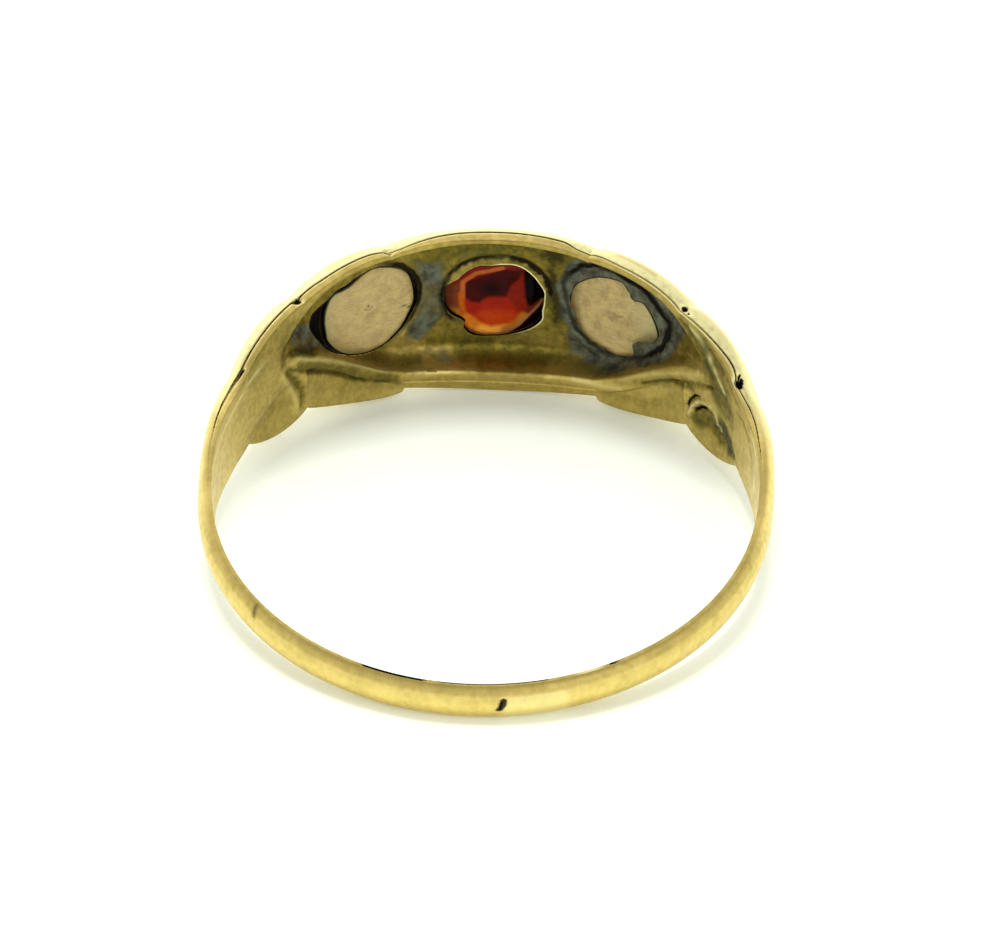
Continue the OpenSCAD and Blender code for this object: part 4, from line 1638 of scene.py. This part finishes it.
        # Painted highlight just inside the dark line, on the right of the head
        right = rise(self.angle, 22, 30) * rise(-self.angle, -68, -62)
        self.brighten(0.9 * self.top * near(self.depth, self.line - 0.075, 0.03) * right)
        self.tarnish_and_shade += 0.1 * self.top * rise(self.line - self.depth, -0.05, 0.05)
        for pit in PITS:
            self.darken(pit.soot_and_shade * self.top * pit.mask(self.angle, self.depth))
        # Painted highlight on the outer dome of the head, near its upper edge
        shoulder = rise(self.outward, 0.0, 0.5) * rise(self.edge, -0.9, -0.15) * self.head
        self.brighten(0.8 * shoulder)
        # Painted highlight on the top face beyond the dark line
        self.brighten(self.top * rise(self.depth - self.line, 0.02, 0.08) * self.head)

    def strokes(self) -> None:
        """Darken or brighten the worked lines inside the shoulders: painted shade in their creases,
        with their grime, and painted highlights on the raised ones.
        """
        inward = rise(-self.outward, 0.0, 0.4) * (self.around < 100) * rise(-self.depth, -0.5, -0.3)
        for stroke in STROKES:
            mask = stroke.mask(self.angle, self.w) * inward
            self.darken(stroke.soot_and_shade * mask)
            self.brighten(stroke.pale * mask)
            self.tarnish_and_shade += stroke.dull * mask

    def shank(self) -> None:
        """Mark the mended place, the notch and the crack of the shank, paint shade on its upper side,
        and draw the dark lines and the painted glint along its upper edge.
        """
        back = rise(self.around, 96, 112)
        outside = rise(self.outward, -0.1, 0.3) * back
        # Darker outside towards the top of the shank: painted shade
        self.tarnish_and_shade += outside * (0.05 + 0.1 * rise(self.w, 0.1, 0.3))
        self.tarnish_and_shade += 0.2 * back * rise(self.w, 0.36, 0.46)
        whole = self.angle % 360
        mend = rise(whole, 160, 161.5) * rise(-whole, -173.8, -173.2) * back
        self.brighten(0.32 * mend * rise(-self.w, -0.42, -0.34))
        for mark in MARKS:
            arc = np.radians(whole - mark.angle) * (INNER_R + 0.45)
            spot = (self.around > 100) & (np.abs(arc) < 1.0)
            height = rise(self.w, mark.low - 0.04, mark.low)
            height *= rise(-self.w, -mark.high, 0.04 - mark.high)
            height *= rise(-np.abs(arc), -0.6, -0.4) * rise(self.outward, -0.5, -0.2)
            shift = mark.lean * (self.w - mark.middle)
            self.seams[spot, 1] = (HALF * (arc - shift) + AWAY_ZERO)[spot]
            self.seams[spot, 2] = (HALF * mark.dark * height)[spot]
        edge = rise(self.edge, -0.14, -0.08) * back
        for edge_part in EDGE_LINES_AND_GLINTS:
            part = edge * rise(-self.depth, -edge_part.width - 0.02, 0.01 - edge_part.width)
            part *= rise(whole, edge_part.start, edge_part.start + 1.6) * rise(-whole, -edge_part.end, 1.6 - edge_part.end)
            self.darken(edge_part.dark * part)
            # Where a stretch is pale, the pale is a painted glint
            self.brighten(edge_part.pale * part)

    def paint(self, piece: bpy.types.Object) -> None:
        """Work out all the masks and keep them on the body.

        Args:
            piece: the body.
        """
        self.seats()
        self.rim()
        self.strokes()
        self.shank()
        wear_and_light = (HALF * self.tarnish_and_shade, self.solder, self.soot_and_shade, self.pale)
        paint(piece, "wear_and_light", np.column_stack(wear_and_light))
        paint(piece, "seams", self.seams)


@dataclass(frozen=True)
class Glow:
    """A patch of light or shade seen through the stone's back."""

    outline: Pairs
    colour: Colour
    soft: float


@dataclass(frozen=True)
class Band:
    """A band of light along a line: full up to its core and gone at its reach."""

    line: Pairs
    colour: Colour
    core: float
    reach: float


def tinted(colour: np.ndarray, tint: Colour, share: np.ndarray) -> np.ndarray:
    """Colours with a share of a tint laid over each of them."""
    share = share[:, None]
    return colour * (1 - share) + np.array(tint) * share


@dataclass
class Garnet(Dressed):
    """Middle stone: step-cut pavilion behind, faceted crown and table in front.

    The rows are height, radius and turn as a share of a side, from the culet to the table.
    """

    sides: int = 12
    rows: tuple[Triple, ...] = (
        (-0.1, 0.62, 0), (0.05, 1.1, 0), (0.2, 1.5, 0), (0.36, 1.8, 0), (0.58, 2.05, 0),
        (0.68, 2.05, 0), (1.05, 1.722, 0.5), (1.4, 1.23, 0))
    bevel: float = 0.012
    # The pavilion is fuller and deeper towards this turn, as the photograph shows its corner
    full_at: float = 120.0
    full: float = 0.1
    sink: float = 0.15
    # Shift of the painted light for each mm of height, so that it lines up for the camera
    slant: tuple[float, float] = (0.037, 0.966)
    ruby: Colour = (0.15, 0.008, 0.004)
    patches: tuple[Glow, ...] = (
        # Left brown
        Glow(((-1.9, -0.54), (-1.28, -0.66), (-1.2, 0.79), (-1.7, 0.95), (-2.1, 0.19)),
            colour=(0.12, 0.026, 0.009), soft=0.1),
        # Left orange
        Glow(((-1.66, 0.43), (-1.24, 0.5), (-0.95, 1.16), (-1.38, 1.2), (-1.75, 0.85)),
            colour=(0.3, 0.11, 0.015), soft=0.14),
        # Lower red
        Glow(((-1.15, 0.0), (-0.59, 0.07), (-0.26, -0.08), (0.39, -0.08), (0.67, 0.07), (1.0, 0.43),
            (1.1, 0.92), (0.8, 1.3), (0.3, 1.45), (-0.4, 1.45), (-0.8, 1.1), (-1.1, 0.7)),
            colour=(0.235, 0.009, 0.0024), soft=0.08),
        # Low glow
        Glow(((-0.7, 0.75), (-0.3, 0.55), (0.6, 0.6), (0.9, 0.75), (0.7, 1.2), (0.2, 1.35),
            (-0.4, 1.3)), colour=(0.34, 0.03, 0.003), soft=0.25),
        # Crown
        Glow(((-1.07, 0.0), (-1.08, -0.72), (-0.35, -1.05), (0.25, -1.33), (0.95, -1.32),
            (0.81, -0.84), (0.58, -0.6), (0.39, -0.05), (-0.26, -0.05), (-0.59, 0.25), (-0.86, 0.19)),
            colour=(0.036, 0.001, 0.001), soft=0.09),
        # Wedge
        Glow(((0.58, -0.6), (0.81, -0.84), (1.0, -0.72), (1.04, -0.12), (1.1, 0.55), (0.77, 0.5),
            (0.39, -0.05)), colour=(0.16, 0.008, 0.002), soft=0.1),
        # Maroon
        Glow(((1.05, 0.45), (1.3, 0.1), (1.7, -0.2), (1.62, 0.12), (1.42, 0.38), (1.2, 0.68),
            (1.08, 0.8)), colour=(0.1, 0.008, 0.004), soft=0.06),
        # Black side
        Glow(((0.97, -1.6), (1.4, -1.4), (1.9, -0.6), (1.95, -0.1), (1.62, -0.08), (1.3, 0.25),
            (1.13, 0.3), (1.04, -0.12), (1.0, -0.72)), colour=(0.002, 0.0, 0.001), soft=0.07),
    )
    shade_at: tuple[float, float] = (-0.12, -0.42)
    bands: tuple[Band, ...] = (
        Band(((-1.17, 0.01), (-1.14, -0.72), (-0.68, -1.12), (-0.21, -1.24), (0.25, -1.39)),
            colour=(0.36, 0.085, 0.016), core=0.04, reach=0.13),
        Band(((-1.21, -0.18), (-1.19, 0.3), (-1.14, 0.62), (-1.0, 0.92)), colour=(0.36, 0.07, 0.004),
            core=0.03, reach=0.17),
        Band(((-1.0, 0.98), (-0.78, 1.22), (-0.45, 1.44)), colour=(0.46, 0.13, 0.01), core=0.12,
            reach=0.34),
        Band(((-0.45, 1.46), (-0.1, 1.5), (0.35, 1.42)), colour=(0.62, 0.24, 0.03), core=0.1,
            reach=0.34),
        Band(((0.35, 1.42), (0.8, 1.12), (1.0, 0.75)), colour=(0.3, 0.1, 0.014), core=0.06,
            reach=0.26),
    )
    tan: Band = Band(((-0.9, 1.45), (-0.45, 1.6), (0.0, 1.6), (0.3, 1.53), (0.58, 1.38), (0.86, 1.12),
        (1.09, 0.81), (1.32, 0.51), (1.51, 0.24), (1.66, -0.05)), colour=(0.24, 0.13, 0.05), core=0.0,
        reach=0.045)
    # What lies beyond the lower edge of the light is painted black, as shade
    under: Pairs = ((-0.2, 1.68), (0.05, 1.66), (0.34, 1.58), (0.62, 1.43), (0.9, 1.17), (1.14, 0.85),
        (1.37, 0.55), (1.56, 0.28), (1.7, 0.0), (2.3, 0.0), (2.3, 2.5), (-0.2, 2.5))
    front_red: Colour = (0.26, 0.009, 0.005)
    black: Colour = (0.0, 0.0, 0.0)

    def make(self) -> None:
        """Cut the stone, paint its glow and hand it over."""
        piece = self.build()
        paint(piece, "glow", self.glow(points_of(piece)))
        piece.data.transform(GARNET_SEAT.matrix())
        self.hand_over(piece, CutGarnet().make())

    def build(self) -> bpy.types.Object:
        """Cut the facets.

        Returns:
            The stone, in the seat's frame.
        """
        z, r, _ = self.rows[0]
        piece = start_ring("dressed_garnet", self.sides, r, z, "NGON")
        for (z0, r0, t0), (z1, r1, t1) in zip(self.rows, self.rows[1:]):
            raise_ring((r0, z0), (r1, z1))
            if t1 != t0:
                step = 2 * math.pi / self.sides * (t1 - t0)
                bpy.ops.transform.rotate(value=-step, orient_axis="Z", center_override=(0, 0, z1))
        bpy.ops.mesh.select_all(action="SELECT")
        bpy.ops.mesh.bevel(offset=self.bevel, segments=1, affect="EDGES")
        bpy.ops.mesh.quads_convert_to_tris(quad_method="SHORTEST_DIAGONAL", ngon_method="BEAUTY")
        bpy.ops.mesh.subdivide(number_cuts=6)
        bpy.ops.mesh.subdivide(number_cuts=1)
        bpy.ops.object.mode_set(mode="OBJECT")
        close_up(piece, 1e-6)
        p = points_of(piece)
        toward = np.cos(np.arctan2(p[:, 1], p[:, 0]) - math.radians(self.full_at))
        share = rise(-p[:, 2], -0.58, -0.36) * rise(np.hypot(p[:, 0], p[:, 1]), 0.3, 1.7)
        p[:, :2] *= (1 + self.full * share * np.clip(toward, 0, 1) ** 2)[:, None]
        p[:, 2] -= self.sink * share * toward
        move_points(piece, p)
        return piece

    def glow(self, p: np.ndarray) -> np.ndarray:
        """Colours of the stone at points of the seat's frame, with alpha 1 on the front."""
        front = (p[:, 2] >= 0.57)[:, None]
        return np.hstack([np.where(front, self.front_light(p), self.back_light(p)), front])

    def back_light(self, p: np.ndarray) -> np.ndarray:
        """Colours of the light seen through the pavilion.

        Args:
            p: points in the seat's frame.

        Returns:
            A colour for each point.
        """
        x, y = p[:, 0] + self.slant[0] * p[:, 2], p[:, 1] - self.slant[1] * p[:, 2]
        colour = np.tile(np.array(self.ruby), (len(p), 1))
        for patch in self.patches:
            colour = tinted(colour, patch.colour, inside(x, y, patch.outline, patch.soft))
        shade = np.hypot(x - self.shade_at[0], (y - self.shade_at[1]) * 1.1)
        colour = tinted(colour, self.black, 0.85 * near(shade, 0, 0.38))
        for band in self.bands:
            lit = rise(-to_line(x, y, band.line), -band.reach, -band.core)
            colour = tinted(colour, band.colour, lit)
        colour = tinted(colour, self.black, 0.97 * inside(x, y, self.under, 0.03))
        brim = near(to_line(x, y, self.tan.line), 0, self.tan.reach)
        return tinted(colour, self.tan.colour, 0.8 * brim)

    def front_light(self, p: np.ndarray) -> np.ndarray:
        """Colours of the crown, with painted light and shade facet by facet, and of the table's
        painted star of reflections.

        Args:
            p: points in the seat's frame.

        Returns:
            A colour for each point.
        """
        reach, turn = polar(p[:, 0], p[:, 1])
        (crown_z, _, _), (table_z, _, _) = self.rows[-2:]
        number = np.floor(turn / (360 / self.sides))
        # Painted light and shade: a set level of red for each facet, and a painted star on the table
        facet = 0.3 + 0.3 * ((number * 5 + 3 * (p[:, 2] < crown_z)) % 4)
        rays = np.cos(np.radians(turn) * self.sides / 2)
        star = 0.55 + 0.4 * rays * rise(reach, 0.05, 0.9) - 0.25 * near(reach, 0.6, 0.2)
        return np.array(self.front_red) * np.where(p[:, 2] > table_z - 0.01, star, facet)[:, None]


@dataclass
class Pearl(Dressed):
    """Side stone: a split pearl with a flat sawn back and a domed front.

    The nucleus is the middle of the back's rings, with a dot of its own strength. The blotches
    are stains on the back, and the moss is green at its edge or all over its right.
    """

    seat: Seat
    outline: Pairs
    nucleus: tuple[float, float]
    crack: Pairs
    dot: float = 0.7
    blotch: float = 0.0
    cap: float = 0.95
    widest: float = 0.56
    back_r: float = 1.82

    def make(self) -> None:
        """Shape the pearl, mark its back and hand it over."""
        piece = self.build()
        paint(piece, "shell", self.shell(points_of(piece)))
        smooth_to(piece, 35)
        piece.data.transform(self.seat.matrix())
        self.hand_over(piece, SplitPearl().make())

    def build(self) -> bpy.types.Object:
        """Turn the pearl and grind its back to its own outline.

        Returns:
            The pearl, in the seat's frame.
        """
        low, top = self.seat.skin + 0.02, self.widest + self.cap
        wide, r = self.seat.stone_r, self.back_r
        back = [(0, low), (0.05, low)] + [(k * 0.08, low) for k in range(2, 21)]
        edge = [(1.7, low), (r - 0.03, low + 0.01), (r, low + 0.05), (r, 0.25), (r, 0.38),
                (wide, 0.53)]
        dome = [(wide * math.cos(a), self.widest + self.cap * math.sin(a))
                for a in np.radians(np.arange(0, 90, 5))]
        piece = turned("dressed_" + self.node, (*back, *edge, *dome, (0.02, top), (0, top)), 128)
        p = points_of(piece)
        _, turn = polar(p[:, 0], p[:, 1])
        own = smooth_table(self.outline, turn) / r
        share = rise(-p[:, 2], -0.5, -0.36)
        p[:, :2] *= (1 + (own - 1) * share)[:, None]
        reach = np.hypot(p[:, 0] - self.nucleus[0], p[:, 1] - self.nucleus[1])
        flat = p[:, 2] < low + 0.03
        p[:, 2] += flat * (0.012 * near(reach, 0.16, 0.05) - 0.02 * near(reach, 0, 0.05))
        p[:, 2] += flat * 0.004 * np.cos(reach * 22)
        move_points(piece, p)
        return piece

    def shell(self, p: np.ndarray) -> np.ndarray:
        """Masks of the sawn back, its stains, its dark marks and the painted shade on its flank.

        Args:
            p: points in the seat's frame.

        Returns:
            Rows of how far each is sawn, stained, dark and green.
        """
        x, y, z = p.T
        across, turn = polar(x, y)
        reach = np.hypot(x - self.nucleus[0], y - self.nucleus[1])
        edge = across / smooth_table(self.outline, turn)
        sawn = rise(-z, -0.5, -0.4)
        stain = 0.25 * near(reach, 0.33, 0.12) + 0.3 * rise(edge, 0.86, 1.0)
        stain += 0.12 * np.cos(reach * 14)
        stain += self.blotch * rise(grain(p, 0.35, 0.4), 0.0, 0.45) * sawn
        crescent = near(reach, 0.16, 0.04) * rise(y - self.nucleus[1], 0.0, 0.1)
        dark = self.dot * near(reach, 0, 0.06) + 0.5 * crescent
        dark += 0.9 * near(to_line(x, y, self.crack), 0, 0.03)
        # The flank that shows in the gap round the pearl is painted dark, as shade
        flank = rise(z, self.seat.skin + 0.03, self.seat.skin + 0.09) * rise(-z, -0.6, -0.5)
        dark = np.maximum(dark * sawn, flank)
        if self.seat is LEFT_SEAT:
            green = 0.7 * near(edge, 0.97, 0.05) * rise(-x, 0.2, 1.2)
        else:
            green = 0.4 * rise(x, 0.4, 1.4)
        return np.column_stack([sawn, stain, dark, green])


@dataclass
class Studio:
    """Plain pale floor, soft light and the camera at the photograph's angle."""

    # The camera's height and turn in degrees as the ring itself sees them, and its distance in mm
    elevation: float = 44.0
    turn: float = 3.7
    distance: float = 80.0
    lens: float = 90.64
    shift: tuple[float, float] = (0.00741, 0.0197)
    floor_size: float = 0.6
    # Strength of the white surroundings at the horizon and overhead
    surroundings: tuple[float, float] = (1.3, 0.55)
    # Name, place in metres, size and power of each lamp
    lamps: tuple[tuple[str, Triple, float, float], ...] = (
        ("key", (-0.1, 0.2, 0.2), 0.3, 0.15), ("top", (-0.02, 0.04, 0.33), 0.1, 0.5),
        ("fill", (0.15, -0.18, 0.2), 0.25, 0.1))

    def put(self, name: str, data: bpy.types.ID) -> bpy.types.Object:
        """Put a lamp or a camera in the scene.

        Args:
            name: name of the new object.
            data: the lamp or the camera.

        Returns:
            The new object, at the origin.
        """
        body = bpy.data.objects.new(name, data)
        bpy.context.scene.collection.objects.link(body)
        return body

    def floor(self) -> None:
        """Lay the floor."""
        deselect()
        bpy.ops.mesh.primitive_plane_add(size=self.floor_size, location=(0, 0, 0))
        plane = bpy.context.object
        plane.name = "floor"
        g = Graph("white_table")
        cloud = g.fade(g.noise(2.0, 3.0), 0.4, 0.7)
        g.set("Base Color", g.mix(cloud, (0.92, 0.965, 0.88), (0.94, 0.98, 0.90)))
        g.set("Roughness", 0.7)
        g.set("Emission Color", (0.90, 1.0, 0.84, 1.0))
        g.set("Emission Strength", 0.1)
        plane.data.materials.append(g.material)

    def light(self) -> None:
        """Hang the soft lights and set the white surroundings."""
        world = bpy.data.worlds.new("white_room")
        bpy.context.scene.world = world
        world.use_nodes = True
        tree = world.node_tree
        sky = tree.nodes["Background"]
        sky.inputs["Color"].default_value = (1, 1, 1, 1)
        way = tree.nodes.new("ShaderNodeTexCoord")
        split = tree.nodes.new("ShaderNodeSeparateXYZ")
        ramp = tree.nodes.new("ShaderNodeMapRange")
        ramp.inputs["To Min"].default_value, ramp.inputs["To Max"].default_value = self.surroundings
        tree.links.new(way.outputs["Generated"], split.inputs[0])
        tree.links.new(split.outputs["Z"], ramp.inputs["Value"])
        tree.links.new(ramp.outputs["Result"], sky.inputs["Strength"])
        for name, place, size, power in self.lamps:
            lamp = bpy.data.lights.new(name, "AREA")
            lamp.size = size
            lamp.energy = power
            body = self.put(name, lamp)
            body.location = place
            body.visible_glossy = name != "top"
            body.rotation_euler = (-Vector(place)).to_track_quat("-Z", "Y").to_euler()

    def camera(self) -> None:
        """Set the camera where the photograph was taken from."""
        e, a = math.radians(self.elevation), math.radians(self.turn)
        right = Vector((math.cos(a), math.sin(a), 0))
        ahead = Vector((-math.sin(a) * math.cos(e), math.cos(a) * math.cos(e), -math.sin(e)))
        up = right.cross(ahead)
        tilt = Matrix.Rotation(math.radians(PLACE.tilt), 3, "X")
        axes = Matrix([tilt @ right, tilt @ up, tilt @ -ahead]).transposed()
        spot = PLACE.matrix() @ (-self.distance * ahead)
        lens = bpy.data.cameras.new("camera")
        lens.lens = self.lens
        lens.sensor_width = 36
        lens.shift_x, lens.shift_y = self.shift
        lens.clip_start = 0.001
        body = self.put("camera", lens)
        body.matrix_world = Matrix.Translation(spot) @ axes.to_4x4()
        bpy.context.scene.camera = body

    def make(self) -> None:
        """Set up the whole studio."""
        self.floor()
        self.light()
        self.camera()
        bpy.context.scene.view_settings.view_transform = "Standard"
        LOG.info("studio: floor, lights and camera")


def main() -> None:
    """Build the ring piece by piece."""
    logging.basicConfig(level=logging.INFO, format="%(message)s")
    RingBody("ring_body", Part.GOLD).make()
    Garnet("garnet", Part.GARNET).make()
    Pearl("pearl_left", Part.PEARL, LEFT_SEAT, LEFT_OUTLINE, nucleus=(-0.04, -0.22),
          crack=((1.26, 0.22), (1.6, 0.44))).make()
    Pearl("pearl_right", Part.PEARL, RIGHT_SEAT, RIGHT_OUTLINE, nucleus=(0.1, -0.1),
          crack=((1.0, -1.0), (1.2, -0.9)), dot=0.1, blotch=0.45).make()
    Studio().make()


if __name__ == "__main__":
    main()
